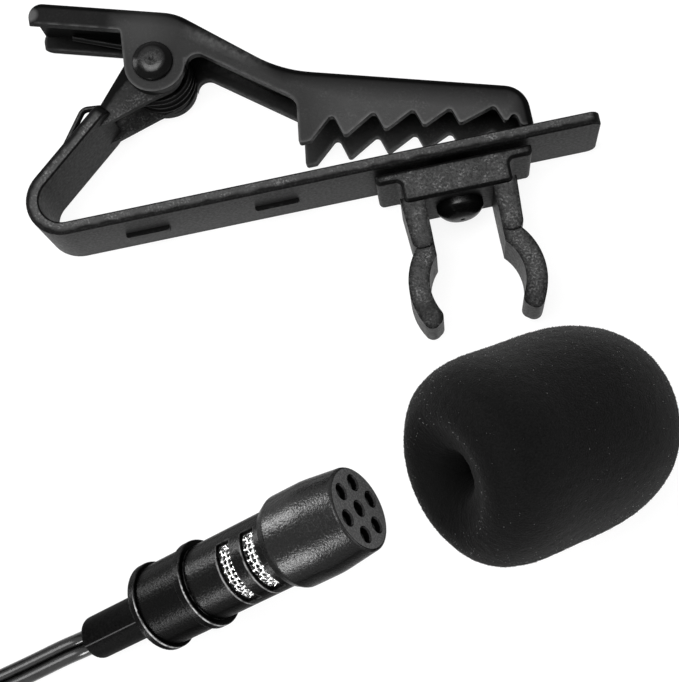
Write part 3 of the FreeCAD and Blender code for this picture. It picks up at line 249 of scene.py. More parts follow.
MESH_FROM = 7.55
MESH_LONG = 4.9
MESH_RADIUS = 2.62
WIRE = 0.105
WIRE_SIDES = 6
HOOPS = 11
STAVES = 38
CROSSING_STEPS = 4


def add_wire(points, faces, line, closed):
    """Adds a round wire along a line of spots."""
    start = len(points)
    total = len(line)
    for index, spot in enumerate(line):
        before = line[(index - 1) % total] if closed else line[max(index - 1, 0)]
        after = line[(index + 1) % total] if closed else line[min(index + 1, total - 1)]
        ahead = (after - before).normalized()
        out = (spot - FACE - TO_TAIL * (spot - FACE).dot(TO_TAIL)).normalized()
        side = ahead.cross(out).normalized()
        out = side.cross(ahead)
        for k in range(WIRE_SIDES):
            angle = 2 * math.pi * k / WIRE_SIDES
            points.append(spot + side * (WIRE * math.cos(angle)) + out * (WIRE * math.sin(angle)))
    for index in range(total if closed else total - 1):
        for k in range(WIRE_SIDES):
            a = start + index * WIRE_SIDES + k
            b = start + index * WIRE_SIDES + (k + 1) % WIRE_SIDES
            c = start + ((index + 1) % total) * WIRE_SIDES + (k + 1) % WIRE_SIDES
            d = start + ((index + 1) % total) * WIRE_SIDES + k
            faces.append((a, d, c, b))
    if not closed:
        last = start + (total - 1) * WIRE_SIDES
        faces.append(tuple(start + k for k in range(WIRE_SIDES)))
        faces.append(tuple(last + k for k in reversed(range(WIRE_SIDES))))


def woven_mesh():
    side, up = axes_across(TO_TAIL)
    points, faces = [], []
    step = MESH_LONG / HOOPS

    def spot(along, angle, lift):
        reach = MESH_RADIUS + lift
        across = side * math.cos(angle) + up * math.sin(angle)
        return FACE + TO_TAIL * along + across * reach

    for hoop in range(HOOPS):
        along = MESH_FROM + (hoop + 0.5) * step
        sign = 1 if hoop % 2 else -1
        line = []
        for k in range(STAVES * CROSSING_STEPS):
            angle = 2 * math.pi * k / (STAVES * CROSSING_STEPS)
            line.append(spot(along, angle, sign * WIRE * math.cos(angle * STAVES / 2)))
        add_wire(points, faces, line, True)
    for stave in range(STAVES):
        angle = 2 * math.pi * stave / STAVES
        sign = -1 if stave % 2 else 1
        line = []
        for k in range(HOOPS * CROSSING_STEPS + 1):
            share = k / CROSSING_STEPS
            lift = sign * WIRE * math.cos(math.pi * (share - 0.5))
            line.append(spot(MESH_FROM + share * step, angle, lift))
        add_wire(points, faces, line, False)
    return mesh_of("woven_mesh", points, faces)


weave = add_object("woven_mesh", woven_mesh())
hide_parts("mesh_screen")
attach(weave, "clip_frame")


# The torsion spring, a copy of the part's mesh.

spring = add_object("spring_wire", NODES["torsion_spring"].data.copy())
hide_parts("torsion_spring")


# The foam windscreen: a barrel of soft foam with a sunken mouth and short fibres.
# Both lists give a place along the axis and a radius. The outline adds its direction there.

FOAM_HOLE = [(12.8, 0.0), (12.8, 1.0), (12.8, 1.2), (8.0, 1.2)]
FOAM_OUTLINE = [
    ((5.0, 1.2), (-1.0, 0.0)),
    ((2.6, 1.5), (-1.0, 0.45)),
    ((0.75, 4.3), (-0.35, 1.0)),
    ((1.0, 6.2), (0.75, 1.0)),
    ((2.75, 7.87), (1.0, 0.48)),
    ((8.36, 8.47), (1.0, 0.0)),
    ((17.16, 7.42), (1.0, -0.42)),
    ((21.0, 3.5), (0.7, -1.5)),
    ((21.9, 0.0), (0.0, -1.0)),
]
OUTLINE_PULL = 0.37
FOAM_ROUND = 230
FOAM_STEP = 0.22
# Waves of noise on the foam's skin: turns per millimetre and depth.
FOAM_LUMPS = ((0.25, 0.05), (1.3, 0.02))
FOAM_GRAIN = ((5.0, 0.05), (9.0, 0.035))


def foam_profile():
    """Spots along the outline, about a step apart, from inside the mouth to the crown."""
    spots = []
    for (start, leaving), (end, arriving) in zip(FOAM_OUTLINE, FOAM_OUTLINE[1:]):
        a, b = Vector(start), Vector(end)
        reach = (b - a).length * OUTLINE_PULL
        c = a + Vector(leaving).normalized() * reach
        d = b - Vector(arriving).normalized() * reach
        count = max(3, round((b - a).length / FOAM_STEP))
        for k in range(count):
            t = k / count
            u = 1 - t
            spots.append(a * u ** 3 + c * 3 * u * u * t + d * 3 * u * t * t + b * t ** 3)
    spots.append(Vector(FOAM_OUTLINE[-1][0]))
    return spots


def relief(spot, waves):
    """How far waves of noise lift the skin at a spot."""
    return sum(noise.noise(spot * turns) * depth for turns, depth in waves)


def foam_mesh():
    side, up = axes_across(FOAM_AXIS)
    profile = [Vector(spot) for spot in FOAM_HOLE] + foam_profile()
    points, faces = [], []
    for spot in profile:
        middle = FOAM_MOUTH + FOAM_AXIS * spot.x
        if spot.y < 0.01:
            points.append(middle)
            continue
        for k in range(FOAM_ROUND):
            angle = 2 * math.pi * k / FOAM_ROUND
            across = side * math.cos(angle) + up * math.sin(angle)
            points.append(middle + across * spot.y)
    rows = len(profile) - 2
    last = 1 + (rows - 1) * FOAM_ROUND
    for k in range(FOAM_ROUND):
        after = (k + 1) % FOAM_ROUND
        faces.append((0, 1 + after, 1 + k))
        for row in range(rows - 1):
            a = 1 + row * FOAM_ROUND
            faces.append((a + k, a + after, a + FOAM_ROUND + after, a + FOAM_ROUND + k))
        faces.append((last + k, last + after, len(points) - 1))
    mesh = mesh_of("foam", points, faces)
    shift = []
    for vertex in mesh.vertices:
        spot = vertex.co / MM
        shift.append(vertex.normal * (relief(spot, FOAM_LUMPS) + relief(spot, FOAM_GRAIN)) * MM)
    for vertex, move in zip(mesh.vertices, shift):
        vertex.co += move
    mesh.update()
    return mesh


foam = add_object("foam_windscreen", foam_mesh())
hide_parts("windscreen")
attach(foam, "clip_frame")

FIBRES = 5200
FIBRE_SEED = 11
FIBRE_LONG = (0.12, 0.42)
FIBRE_THICK = (0.012, 0.024)
FIBRE_LEAN = 0.45
FIBRE_BOW = 0.12
# Rings of a fibre: share of its length and of its thickness.
FIBRE_RINGS = ((-0.2, 1.0), (0.5, 0.9), (1.0, 0.35))
# A fibre that leans flatter than this is left out.
FIBRE_UPRIGHT = 0.3
# Fibres are thickest on the flanks round this direction, with a few everywhere else.
FUZZ_WAY = Vector((0.03, -0.22, 0.97)).normalized()
FUZZ_ELSEWHERE = 0.03
# The skin that carries fibres: all of it but the mouth and the hole behind it.
FOAM_END = 22
MOUTH_RADIUS = 4.2
HOLE_END = 18


def on_skin(spot):
    """True on the foam's outer skin."""
    away = spot - FOAM_MOUTH
    along = away.dot(FOAM_AXIS)
    reach = (away - FOAM_AXIS * along).length
    return along < FOAM_END and (reach > MOUTH_RADIUS or along > HOLE_END)


def scatter(draw):
    """A random vector, most often near zero."""
    return Vector((draw.gauss(0, 1), draw.gauss(0, 1), draw.gauss(0, 1)))


def fuzz_mesh():
    """Short loose fibres that stand on the foam."""
    draw = random.Random(FIBRE_SEED)
    skin = [p for p in foam.data.polygons if p.area > 0 and on_skin(p.center / MM)]
    weights = [p.area * (FUZZ_ELSEWHERE + (1 - abs(p.normal.dot(FUZZ_WAY))) ** 3) for p in skin]
    points, faces = [], []
    for polygon in draw.choices(skin, weights, k=FIBRES):
        spot = polygon.center / MM
        out = polygon.normal
        ahead = (out + scatter(draw) * FIBRE_LEAN).normalized()
        if ahead.dot(out) < FIBRE_UPRIGHT:
            continue
        long = draw.uniform(*FIBRE_LONG)
        bow = scatter(draw) * FIBRE_BOW * long
        thick = draw.uniform(*FIBRE_THICK)
        side = ahead.orthogonal().normalized()
        other = ahead.cross(side)
        start = len(points)
        for share, wide in FIBRE_RINGS:
            middle = spot + ahead * (long * share) + bow * math.sin(math.pi * max(share, 0))
            for k in range(3):
                angle = 2 * math.pi * k / 3
                across = side * math.cos(angle) + other * math.sin(angle)
                points.append(middle + across * thick * wide)
        for row in range(2):
            for k in range(3):
                a = start + row * 3 + k
                b = start + row * 3 + (k + 1) % 3
                faces.append((a, b, b + 3, a + 3))
        faces.append((start + 6, start + 7, start + 8))
    return mesh_of("fuzz", points, faces)


fuzz = add_object("foam_fibres", fuzz_mesh())
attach(fuzz, "clip_frame")


# Materials: every one takes its place from the object's own millimetres.

OCCLUSION_SAMPLES = 6


def grey(value):
    return (value, value, value, 1)


class Finish:
    """One material's nodes. Scales are turns per millimetre, and shares run from 0 to 1."""

    def __init__(self, name, rough, specular, metal=0.0):
        self.material = bpy.data.materials.new(name)
        self.material.use_nodes = True
        self.nodes = self.material.node_tree.nodes
        self.links = self.material.node_tree.links
        self.shader = self.nodes["Principled BSDF"]
        self.shader.inputs["Roughness"].default_value = rough
        self.shader.inputs["Specular IOR Level"].default_value = specular
        self.shader.inputs["Metallic"].default_value = metal
        self.place = self.nodes.new("ShaderNodeTexCoord")
        self.mapped = {}

    def into(self, socket, value):
        """Sets a socket to a number or colour, or links a node's output to it."""
        if isinstance(value, (int, float, tuple)):
            socket.default_value = value
        else:
            self.links.new(value, socket)

    def spot(self, stretch=(1, 1, 1)):
        """The place in the object's own millimetres, stretched along its axes."""
        if stretch not in self.mapped:
            node = self.nodes.new("ShaderNodeMapping")
            node.inputs["Scale"].default_value = [s / MM for s in stretch]
            self.links.new(self.place.outputs["Object"], node.inputs["Vector"])
            self.mapped[stretch] = node.outputs[0]
        return self.mapped[stretch]

    def grain(self, scale, detail, rough=0.55, stretch=(1, 1, 1)):
        node = self.nodes.new("ShaderNodeTexNoise")
        node.inputs["Scale"].default_value = scale
        node.inputs["Detail"].default_value = detail
        node.inputs["Roughness"].default_value = rough
        self.links.new(self.spot(stretch), node.inputs["Vector"])
        return node.outputs["Fac"]

    def ramp(self, value, low, high, bottom=0.0, top=1.0):
        node = self.nodes.new("ShaderNodeMapRange")
        self.into(node.inputs["Value"], value)
        node.inputs["From Min"].default_value = low
        node.inputs["From Max"].default_value = high
        node.inputs["To Min"].default_value = bottom
        node.inputs["To Max"].default_value = top
        return node.outputs["Result"]

    def math(self, how, *values):
        node = self.nodes.new("ShaderNodeMath")
        node.operation = how
        for socket, value in zip(node.inputs, values):
            self.into(socket, value)
        return node.outputs[0]

    def times(self, a, b):
        return self.math("MULTIPLY", a, b)

    def most(self, a, b):
        return self.math("MAXIMUM", a, b)

    def less(self, a, b):
        return self.math("SUBTRACT", a, b)

    def size(self, value):
        """A value without its sign."""
        return self.math("ABSOLUTE", value)

    def mix(self, share, a, b):
        """Colour a where the share is 0 and colour b where it is 1."""
        node = self.nodes.new("ShaderNodeMix")
        node.data_type = "RGBA"
        self.into(node.inputs[0], share)
        self.into(node.inputs[6], a)
        self.into(node.inputs[7], b)
        return node.outputs[2]

    def vector(self, how, value, other):
        node = self.nodes.new("ShaderNodeVectorMath")
        node.operation = how
        self.links.new(value, node.inputs[0])
        node.inputs[1].default_value = other
        return node.outputs

    def facing(self, way, low, high):
        """1 where the surface faces that way, in the object's own frame."""
        dot = self.vector("DOT_PRODUCT", self.place.outputs["Normal"], Vector(way).normalized())
        return self.ramp(dot["Value"], low, high)

    def beside(self, spot, way):
        """Millimetres from a spot along a direction."""
        away = self.vector("SUBTRACT", self.spot(), Vector(spot))[0]
        return self.vector("DOT_PRODUCT", away, Vector(way).normalized())["Value"]

    def distance(self, spot):
        """Millimetres from a spot."""
        return self.vector("DISTANCE", self.spot(), Vector(spot))["Value"]

    def radial(self, spot, way):
        """Millimetres from an axis through a spot."""
        straight = self.distance(spot)
        along = self.beside(spot, way)
        square = self.less(self.times(straight, straight), self.times(along, along))
        return self.math("SQRT", self.most(square, 0.0))

    def off_upright(self, spot):
        """Millimetres from an axis along Z."""
        flat = self.vector("MULTIPLY", self.spot(), (1, 1, 0))[0]
        return self.vector("DISTANCE", flat, (spot[0], spot[1], 0))["Value"]

    def near(self, spot, reach, fade):
        """1 within reach of a spot, and less over the fade beyond it."""
        return self.ramp(self.distance(spot), reach, reach + fade, 1, 0)

    def occlusion(self, reach, inside):
        node = self.nodes.new("ShaderNodeAmbientOcclusion")
        node.inside = inside
        node.samples = OCCLUSION_SAMPLES
        node.inputs["Distance"].default_value = reach * MM
        return node.outputs["AO"]

    def edges(self, reach, low=0.05, high=0.4):
        """1 along outward edges, from how much of the solid lies behind the surface."""
        return self.ramp(self.occlusion(reach, True), 1 - low, 1 - high)

    def open_air(self, reach, low, high):
        """1 in the open and 0 deep in a recess."""
        return self.ramp(self.occlusion(reach, False), low, high)

    def bump(self, height, depth, strength):
        node = self.nodes.new("ShaderNodeBump")
        node.inputs["Strength"].default_value = strength
        node.inputs["Distance"].default_value = depth * MM
        self.into(node.inputs["Height"], height)
        self.links.new(node.outputs[0], self.shader.inputs["Normal"])

    def colour(self, value):
        self.into(self.shader.inputs["Base Color"], value)

    def specular(self, value):
        self.into(self.shader.inputs["Specular IOR Level"], value)

    def roughness(self, value):
        self.into(self.shader.inputs["Roughness"], value)

    def on(self, *things):
        for thing in things:
            thing.data.materials.clear()
            thing.data.materials.append(self.material)


# Tones of the grainy black coat on the clip's metal and on its moulded holder, with painted shade on edges
# and in recesses, a painted glint, and a painted highlight that is also rubbed wear.
EDGE_SHADE_TONE = 0.003
RECESS_SHADE_TONE = 0.002
FLECK_TONE = 0.3
WORN_TONE = 0.2
GLINT_TONE = 0.1
HIGHLIGHT_AND_RUBBED_TONE = 0.12
# Heights between which a side's tone passes from its first to its second, as painted light.
SIDE_RISE = (1.0, 6.6)
GRAIN_DEPTH = 0.025


def cast_finish(name, face, side, rough, specular, fleck, darker=None, rim=None, pit=2.0,
                level=(0.9, 0.985), glint=0.0, pale=None):
    """A coat that is grainy on flat top faces, with painted shade along their rounded edges, and smooth on
    the sides, where painted light changes their tone with height.

    Face and side are pairs of tones, fleck is how strong the pale flecks and worn edges are, pit how
    deep the grain is, and level how squarely a flat top faces up. Darker, rim and pale give shares
    of the surface: darker tones it down with painted shade, rim is 0 where a flat top rolls over into
    the painted edge shade, and pale gives it a painted highlight and rubbed wear. Glint is how strong
    a painted glint along the edges is.
    of the surface: darker tones it down, rim is 0 where a flat top rolls over, and pale rubs it.
    """
    f = Finish(name, rough, specular)
    flat = f.facing(UP, *level)
    upright = f.facing(UP, 0.3, 0.08)
    if rim is not None:
        flat = f.times(flat, rim(f))

    # Flat faces: fine grain, clouds, and flecks in clusters.
    fine = f.grain(3.6, 3, 0.62)
    cloud = f.grain(0.5, 2)
    body = f.mix(f.ramp(fine, 0.36, 0.66), grey(face[0]), grey(face[1]))
    body = f.mix(f.ramp(cloud, 0.35, 0.7, 0, 0.3), body, grey(face[0]))
    cluster = f.ramp(f.grain(0.55, 2), 0.42, 0.64)
    flecks = f.times(f.ramp(f.grain(5.5, 2, 0.5), 0.5, 0.72), cluster)
    worn = f.times(f.edges(0.35), f.ramp(f.grain(4.5, 2, 0.5), 0.5, 0.66))
    bright = f.most(flecks, worn)
    body = f.mix(f.times(bright, fleck), body, grey(FLECK_TONE))

    # Painted shade on the rounded edges, and painted light up the sides.
    rounding = f.mix(f.times(worn, 0.25 * fleck), grey(EDGE_SHADE_TONE), grey(WORN_TONE))
    low = f.mix(f.ramp(f.grain(1.1, 3), 0.3, 0.7), grey(side[0]), grey(side[0] * 1.3))
    smooth = f.mix(f.ramp(f.beside((0, 0, 0), UP), *SIDE_RISE), low, grey(side[1]))
    around = f.mix(upright, rounding, smooth)
    coat = f.mix(flat, around, body)
    shine = f.math("MULTIPLY_ADD", flat, 0.85, 0.15)
    shine = f.most(shine, f.times(upright, 0.35))

    # Painted shade on darker parts, painted glints on the edges, painted highlights and rubbed places, and
    # painted shade in recesses.
    if darker is not None:
        share = darker(f)
        # Painted shade: the darker share takes the coat to the edge shade tone.
        coat = f.mix(share, coat, grey(EDGE_SHADE_TONE))
        shine = f.times(shine, f.ramp(share, 0, 0.8, 1, 0.15))
    if glint:
        # Painted glint along the flat faces' edges.
        line = f.times(f.edges(0.3, 0.1, 0.35), f.ramp(f.grain(0.9, 2), 0.35, 0.6, 0.3, 1))
        coat = f.mix(f.times(f.times(line, flat), glint), coat, grey(GLINT_TONE))
    if pale is not None:
        # Painted highlight and rubbed wear where the pale share lies.
        coat = f.mix(pale(f), coat, grey(HIGHLIGHT_AND_RUBBED_TONE))
    # Painted shade in recesses, which also lose their shine.
    clear = f.open_air(2.5, 0.15, 0.6)
    coat = f.mix(clear, grey(RECESS_SHADE_TONE), coat)
    shine = f.times(shine, f.ramp(clear, 0, 1, 0.25, 1))

    f.colour(coat)
    f.specular(f.times(shine, specular))
    f.roughness(f.ramp(fine, 0.3, 0.7, rough - 0.1, rough + 0.12))
    height = f.math("ADD", fine, f.times(f.grain(8, 1), 0.4))
    f.bump(f.times(height, f.ramp(flat, 0, 1, 0.2, 1)), GRAIN_DEPTH * pit, 0.8)
    return f


def holder_rim(f):
    """0 along a near face's edges, where the moulding rolls over into painted edge shade."""
    return f.less(1, f.edges(0.7, 0.12, 0.4))


# The strip's bend: its middle, the upright's slope, and the radii where the near face rolls over.
BEND = Vector((-21.7, 2.625, 0))
UPRIGHT = math.radians(40.8)
ROLL_OVER = (2.6, 2.9)


def strip_rim(f):
    """0 on the near face's outer third, where the strip's edge rolls over into painted edge shade."""
    along = Vector((math.cos(UPRIGHT), math.sin(UPRIGHT), 0))
    out = Vector((-math.sin(UPRIGHT), math.cos(UPRIGHT), 0))
    below = f.beside(BEND, (0, -1, 0))
    behind = f.beside(BEND, out)
    past_bar = f.ramp(f.beside(BEND, (-1, 0, 0)), 0, 0.01)
    past_upright = f.ramp(f.beside(BEND, -along), 0, 0.01)
    round_it = f.times(f.off_upright(BEND), f.times(past_bar, past_upright))
    reach = f.most(f.most(below, behind), round_it)
    wave = f.ramp(f.grain(0.8, 2), 0.3, 0.7, -0.1, 0.1)
    return f.ramp(f.math("ADD", reach, wave), *ROLL_OVER, 1, 0)


def pivot_shade(f):
    """Painted shade: the upright's ears are painted darker and less glossy than its strip."""
    return f.times(f.near((-11.9, 13.4, 4), 5.0, 2.5), 0.55)


# The lever's top line, from its finger tab to its nose.
LEVER_TOP = [(-22.3, 21.72), (-9.2, 17.66), (-1.0, 10.4), (19.35, 4.2)]
# The painted highlight streak on the lever's neck: its middle, the way across it and the way along it.
STREAK = (-5.3, 13.35, 0)
STREAK_ACROSS = (0.595, 0.804, 0)
STREAK_ALONG = (0.804, -0.595, 0)


def under_back(f):
    """Millimetres down from the lever's top line."""
    across = f.beside((0, 0, 0), (1, 0, 0))
    top = f.ramp(across, LEVER_TOP[0][0], LEVER_TOP[1][0], LEVER_TOP[0][1], LEVER_TOP[1][1])
    for (x, y), (next_x, next_y) in zip(LEVER_TOP[1:], LEVER_TOP[2:]):
        top = f.math("ADD", top, f.ramp(across, x, next_x, 0, next_y - y))
    return f.less(top, f.beside((0, 0, 0), (0, 1, 0)))


def lever_shade(f):
    """Painted shade: the lever's finger tab, its neck and a band along its back and nose are painted
    darker than its jaw.
    """
    tab = f.ramp(f.beside((-13.5, 15.0, 0), (-1, 0.31, 0)), -0.5, 2.8, 0, 0.75)
    neck = f.ramp(f.beside((4.0, 0, 0), (-1, 0, 0)), 0, 3.5, 0, 0.4)
    band = f.ramp(under_back(f), 0.5, 2.7, 0.8, 0)
    nose = f.ramp(f.beside((LEVER_TOP[-1][0], 0, 0), (-1, 0, 0)), 0.5, 2.3, 0.75, 0)
    return f.most(f.most(tab, neck), f.most(band, nose))


def lever_highlight_and_rubbed(f):
    """Where the lever's coat is painted pale: a painted highlight streak on the neck, and rubbed wear on
    the hub's top and the tab's tip.
    """
    off = f.size(f.beside(STREAK, STREAK_ACROSS))
    along = f.size(f.beside(STREAK, STREAK_ALONG))
    streak = f.times(f.ramp(off, 0.15, 0.85, 1, 0), f.ramp(along, 2.0, 4.6, 1, 0))
    streak = f.times(streak, f.ramp(f.grain(2.2, 3, 0.7), 0.35, 0.65, 0.3, 1))
    hub = f.times(f.near((-12.3, 16.9, 7.15), 0.8, 2.6), 0.12)
    tip = f.times(f.near((-21.9, 20.2, 7.15), 0.4, 0.35), 0.5)
    return f.most(f.times(streak, 0.4), f.most(hub, tip))


cast_finish(
    "strip_coat", face=(0.006, 0.028), side=(0.026, 0.006), rough=0.5, specular=0.28, fleck=0.4,
    darker=pivot_shade, rim=strip_rim).on(NODES["clip_strip"])
cast_finish(
    "lever_coat", face=(0.009, 0.013), side=(0.006, 0.006), rough=0.45, specular=0.28, fleck=0.06,
    darker=lever_shade, pit=0.6, level=(0.96, 0.998), glint=0.5, pale=lever_highlight_and_rubbed).on(NODES["jaw_lever"])
cast_finish(
    "rivet_coat", face=(0.003, 0.005), side=(0.004, 0.003), rough=0.24, specular=0.3, fleck=0.05,
    pit=0.12).on(NODES["pivot_rivet"], NODES["holder_rivet"], NODES["swivel_washer"])
cast_finish(
    "spring_coat", face=(0.004, 0.006), side=(0.004, 0.004), rough=0.4, specular=0.2, fleck=0.1).on(spring)
cast_finish(
    "holder_grain", face=(0.002, 0.042), side=(0.005, 0.004), rough=0.45, specular=0.18, fleck=0.5,
    rim=holder_rim, pit=2.6).on(NODES["mic_holder"])


# Tones of the microphone's semi-gloss coat, with painted shade on its underside and in recesses, and
# painted highlights on its rings.
SHELL_SHADE_TONE = 0.001
SHELL_WORN = 0.5
MATT_TONES = (0.10, 0.15)
RING_HIGHLIGHT_TONE = 0.75
# Its painted ring highlights show on the side that faces this way.
RING_SIDE = (-0.2, -0.76, 0.62)


def ring_highlights(f, places, reach):
    """Painted highlights: thin bright lines on the edges of rings round the microphone, on its lower side.

    The places are the rings' lengths along its axis, and reach is their radius.
    """
    along = f.beside(FACE, TO_TAIL)
    lines = None
    for at in places:
        line = f.ramp(f.size(f.less(along, at)), 0.03, 0.11, 1, 0)
        lines = line if lines is None else f.most(lines, line)
    outside = f.ramp(f.radial(FACE, TO_TAIL), reach - 0.1, reach - 0.03)
    lit = f.facing(RING_SIDE, 0.35, 0.75)
    patchy = f.ramp(f.grain(1.1, 2), 0.3, 0.55)
    return f.times(f.times(lines, outside), f.times(lit, patchy))


def shell_finish(name, tones, rough, specular, rim, matt=None, rings=(), reach=0.0, line=0.0):
    """A semi-gloss coat with a fine grain and worn rims, paler on a face turned the matt way, and with
    painted shade on its underside and in recesses.

    Rim is how strong the worn rims are, and line how strong the painted ring highlights are.
    """
    f = Finish(name, rough, specular)
    fine = f.grain(5.5, 2, 0.6)
    body = f.mix(f.ramp(fine, 0.3, 0.7), grey(tones[0]), grey(tones[1]))
    lit = f.facing(UP, 0.45, 0.78)
    if matt:
        end = f.facing(matt, 0.97, 0.99)
        body = f.mix(end, body, f.mix(f.ramp(fine, 0.3, 0.7), grey(MATT_TONES[0]), grey(MATT_TONES[1])))
        lit = f.most(lit, end)
    # Painted shade: faces turned down and recesses take the shade tone and lose their shine.
    clear = f.times(f.open_air(1.6, 0.35, 0.7), lit)
    body = f.mix(clear, grey(SHELL_SHADE_TONE), body)
    f.specular(f.times(f.ramp(clear, 0, 1, 0.06, 1), specular))
    rims = f.times(f.edges(0.16, 0.12, 0.45), f.ramp(f.grain(1.2, 3), 0.35, 0.6))
    body = f.mix(f.times(rims, rim), body, grey(SHELL_WORN))
    if rings:
        # Painted ring highlights.
        body = f.mix(f.times(ring_highlights(f, rings, reach), line), body, grey(RING_HIGHLIGHT_TONE))
    f.colour(body)
    f.roughness(f.ramp(fine, 0.3, 0.7, rough - 0.06, rough + 0.12))
    f.bump(fine, 0.035, 0.9)
    return f


shell_finish(
    "shell_coat", tones=(0.001, 0.002), rough=0.24, specular=0.1, rim=0.1, rings=(9.5, 12.0), reach=3.2,
    line=0.25).on(NODES["body_shell"])
shell_finish(
    "collar_coat", tones=(0.001, 0.0015), rough=0.24, specular=0.06, rim=0.2, rings=(15.55, 20.55),
    reach=3.7, line=0.7).on(NODES["rear_collar"])
shell_finish(
    "cap_coat", tones=(0.001, 0.003), rough=0.22, specular=0.27, rim=0.3,
    matt=-TO_TAIL).on(NODES["front_cap"])
shell_finish("plug_shell", tones=(0.02, 0.035), rough=0.32, specular=0.5, rim=0.5).on(NODES["plug_barrel"])


# Rubber, with a painted highlight along the moulding seam on the sleeve's upward side.

SEAM_ACROSS = (0.319, -0.915, -0.252)
SEAM_SIDE = (-0.402, -0.37, 0.839)

sleeve = Finish("sleeve_rubber", 0.5, 0.02)
# Painted highlight: a pale line along the seam, on its upward side.
seam = sleeve.size(sleeve.beside(FACE, SEAM_ACROSS))
seam = sleeve.times(sleeve.ramp(seam, 0.02, 0.07, 1, 0), sleeve.facing(SEAM_SIDE, 0.2, 0.6))
tone = sleeve.mix(sleeve.ramp(sleeve.grain(4, 3), 0.3, 0.7), grey(0.001), grey(0.004))
sleeve.colour(sleeve.mix(sleeve.times(seam, 0.3), tone, grey(0.2)))
sleeve.bump(sleeve.grain(7, 2), 0.04, 0.8)
sleeve.on(NODES["strain_relief"], NODES["plug_boot"], NODES["capsule_gasket"])


# Foam: porous and matt, with painted shade round its lip and darker painted shade in its dent.

sponge = Finish("foam", 0.95, 0.05)
pores = sponge.grain(7.5, 2, 0.6)
# Painted shade in the dent and wherever the skin is enclosed.
dent_shade = sponge.near(FOAM_MOUTH + FOAM_AXIS * 1.8, 1.6, 5.4)
dent_shade = sponge.most(dent_shade, sponge.less(1, sponge.open_air(6, 0.35, 0.8)))
# Painted shade round the lip.
lip_shade = sponge.near(FOAM_MOUTH, 3.5, 6.0)
tone = sponge.mix(sponge.ramp(pores, 0.35, 0.68), grey(0.002), grey(0.007))
tone = sponge.mix(sponge.times(lip_shade, 0.8), tone, grey(0.001))
sponge.colour(sponge.mix(dent_shade, tone, grey(0.0012)))
sponge.bump(pores, 0.08, 1)
shade = sponge.most(dent_shade, sponge.times(lip_shade, 0.85))
sponge.into(sponge.shader.inputs["Sheen Weight"], sponge.ramp(shade, 0, 1, 0.07, 0.005))
sponge.shader.inputs["Sheen Roughness"].default_value = 0.5
sponge.on(foam)


# Finishes whose colour wanders between two tones.

def mottled(name, rough, specular, grain, tones, metal=0.0, spread=(0.3, 0.7)):
    """Grain is its scale, detail and roughness, and spread how far apart the two tones lie in it."""
    f = Finish(name, rough, specular, metal)
    f.colour(f.mix(f.ramp(f.grain(*grain), *spread), *tones))
    return f


jacket = mottled("cord_jacket", 0.22, 0.4, (1.5, 3), (grey(0.010), grey(0.02)))
jacket.bump(jacket.grain(3, 2), 0.02, 0.4)
jacket.on(cord)

felt = mottled("felt", 0.95, 0.2, (9, 3, 0.7), (grey(0.004), grey(0.02)))
felt.bump(felt.grain(12, 2), 0.05, 1)
felt.on(NODES["acoustic_felt"])

strap = Finish("strap_fabric", 0.9, 0.2)
ribs = strap.grain(1.0, 2, 0.5, stretch=(6, 1.2, 6))
strap.colour(strap.mix(strap.ramp(ribs, 0.35, 0.65), grey(0.012), grey(0.045)))
strap.bump(ribs, 0.1, 1)
strap.on(NODES["coil_tie"])

plating = mottled(
    "contact_metal", 0.18, 0.5, (2, 3), ((0.36, 0.35, 0.33, 1), (0.5, 0.49, 0.46, 1)), metal=1.0)
plating.bump(plating.grain(1, 1, 0.5, stretch=(1, 14, 1)), 0.01, 0.4)
plating.on(*[NODES[n] for n in CONTACTS])

# Painted sheen: the fibres' pale tones stand in for light caught along them.
mottled("foam_fibre", 0.6, 0.4, (3, 2), (grey(0.01), grey(0.3)), spread=(0.45, 0.7)).on(fuzz)
mottled(
    "mesh_steel", 0.25, 0.5, (6, 2), (grey(0.62), grey(0.95)), metal=1.0, spread=(0.35, 0.65)).on(weave)
mottled("insulator", 0.4, 0.5, (5, 2), (grey(0.012), grey(0.02))).on(*[NODES[n] for n in INSULATORS])
mottled("capsule_metal", 0.35, 0.5, (3, 2), (grey(0.5), grey(0.7)), metal=1.0).on(NODES["capsule"])
mottled(
    "board", 0.5, 0.4, (2, 2), ((0.02, 0.1, 0.04, 1), (0.05, 0.2, 0.09, 1))).on(NODES["capsule_board"])
mottled("wire_insulation", 0.4, 0.5, (2, 2), (grey(0.01), grey(0.02))).on(
    NODES["signal_wire"], NODES["shield_wire"])
mottled(
    "crimp_metal", 0.35, 0.5, (3, 2), ((0.62, 0.5, 0.28, 1), (0.75, 0.64, 0.38, 1)), metal=1.0).on(
    NODES["cord_crimp"])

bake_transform(spring)


# Light: an even studio, brightest overhead. The world and floor are white where they are seen.

WORLD_HEIGHTS = (0.45, 1.0)
WORLD_GLOW = (0.06, 0.6)
FLOOR_REACH = 900
FLOOR_GLOW = 0.88
FLOOR_TONE = 0.17
FLOOR_BOUNCE = 0.35
# Each lamp's name, place, aim, width and watts.
LAMPS = [
    ("lamp_over", (-50, 0, 260), (0, -12, 0), 180, 0.7),
    ("lamp_left", (-210, 100, 69), (-4, -30, 14), 80, 0.45),
    ("lamp_front", (-141, -235, 64), (-4, -30, 14), 80, 0.5),
    ("lamp_right", (230, -120, 70), (0, -15, 5), 120, 0.14),
]


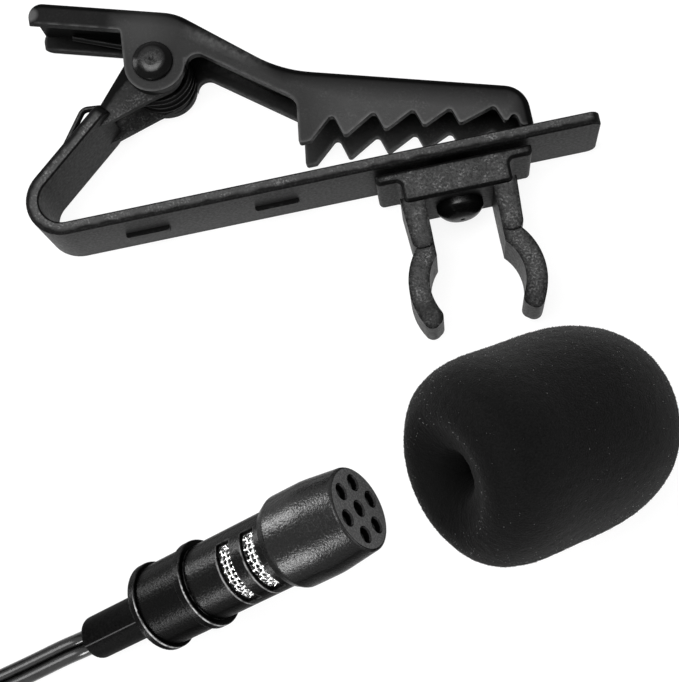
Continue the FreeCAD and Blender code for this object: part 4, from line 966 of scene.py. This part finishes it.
def shown_by_sight(tree, kind, unseen, seen):
    """A world's or floor's shader: the seen one for camera, gloss and glass rays, else the other."""
    path = tree.nodes.new("ShaderNodeLightPath")
    share = path.outputs["Is Camera Ray"]
    for ray in ("Is Glossy Ray", "Is Transmission Ray"):
        either = tree.nodes.new("ShaderNodeMath")
        either.operation = "MAXIMUM"
        tree.links.new(share, either.inputs[0])
        tree.links.new(path.outputs[ray], either.inputs[1])
        share = either.outputs[0]
    mix = tree.nodes.new("ShaderNodeMixShader")
    tree.links.new(share, mix.inputs[0])
    tree.links.new(unseen.outputs[0], mix.inputs[1])
    tree.links.new(seen.outputs[0], mix.inputs[2])
    tree.links.new(mix.outputs[0], tree.nodes.new(kind).inputs["Surface"])


def add_world():
    world = bpy.data.worlds.new("world")
    bpy.context.scene.world = world
    world.use_nodes = True
    tree = world.node_tree
    tree.nodes.clear()
    place = tree.nodes.new("ShaderNodeTexCoord")
    parts = tree.nodes.new("ShaderNodeSeparateXYZ")
    tree.links.new(place.outputs["Generated"], parts.inputs[0])
    rise = tree.nodes.new("ShaderNodeMapRange")
    tree.links.new(parts.outputs["Z"], rise.inputs["Value"])
    rise.inputs["From Min"].default_value, rise.inputs["From Max"].default_value = WORLD_HEIGHTS
    rise.inputs["To Min"].default_value, rise.inputs["To Max"].default_value = WORLD_GLOW
    sky = tree.nodes.new("ShaderNodeBackground")
    tree.links.new(rise.outputs[0], sky.inputs["Strength"])
    white = tree.nodes.new("ShaderNodeBackground")
    white.inputs["Color"].default_value = grey(1)
    shown_by_sight(tree, "ShaderNodeOutputWorld", sky, white)


def add_floor():
    mesh = bpy.data.meshes.new("floor")
    reach = FLOOR_REACH * MM
    corners = [(-reach, -reach, 0), (reach, -reach, 0), (reach, reach, 0), (-reach, reach, 0)]
    mesh.from_pydata(corners, [], [(0, 1, 2, 3)])
    material = bpy.data.materials.new("floor")
    material.use_nodes = True
    tree = material.node_tree
    tree.nodes.clear()
    bounce = tree.nodes.new("ShaderNodeBsdfDiffuse")
    bounce.inputs["Color"].default_value = grey(FLOOR_BOUNCE)
    cloth = tree.nodes.new("ShaderNodeBsdfDiffuse")
    cloth.inputs["Color"].default_value = grey(FLOOR_TONE)
    glow = tree.nodes.new("ShaderNodeEmission")
    glow.inputs["Strength"].default_value = FLOOR_GLOW
    seen = tree.nodes.new("ShaderNodeAddShader")
    tree.links.new(cloth.outputs[0], seen.inputs[0])
    tree.links.new(glow.outputs[0], seen.inputs[1])
    shown_by_sight(tree, "ShaderNodeOutputMaterial", bounce, seen)
    mesh.materials.append(material)
    floor = add_object("floor", mesh)


def add_lamp(name, place, aim, size, watts):
    data = bpy.data.lights.new(name, "AREA")
    data.shape = "SQUARE"
    data.size = size * MM
    data.energy = watts
    lamp = add_object(name, data)
    lamp.matrix_world = aimed(place, aim)


add_world()
add_floor()
for row in LAMPS:
    add_lamp(*row)
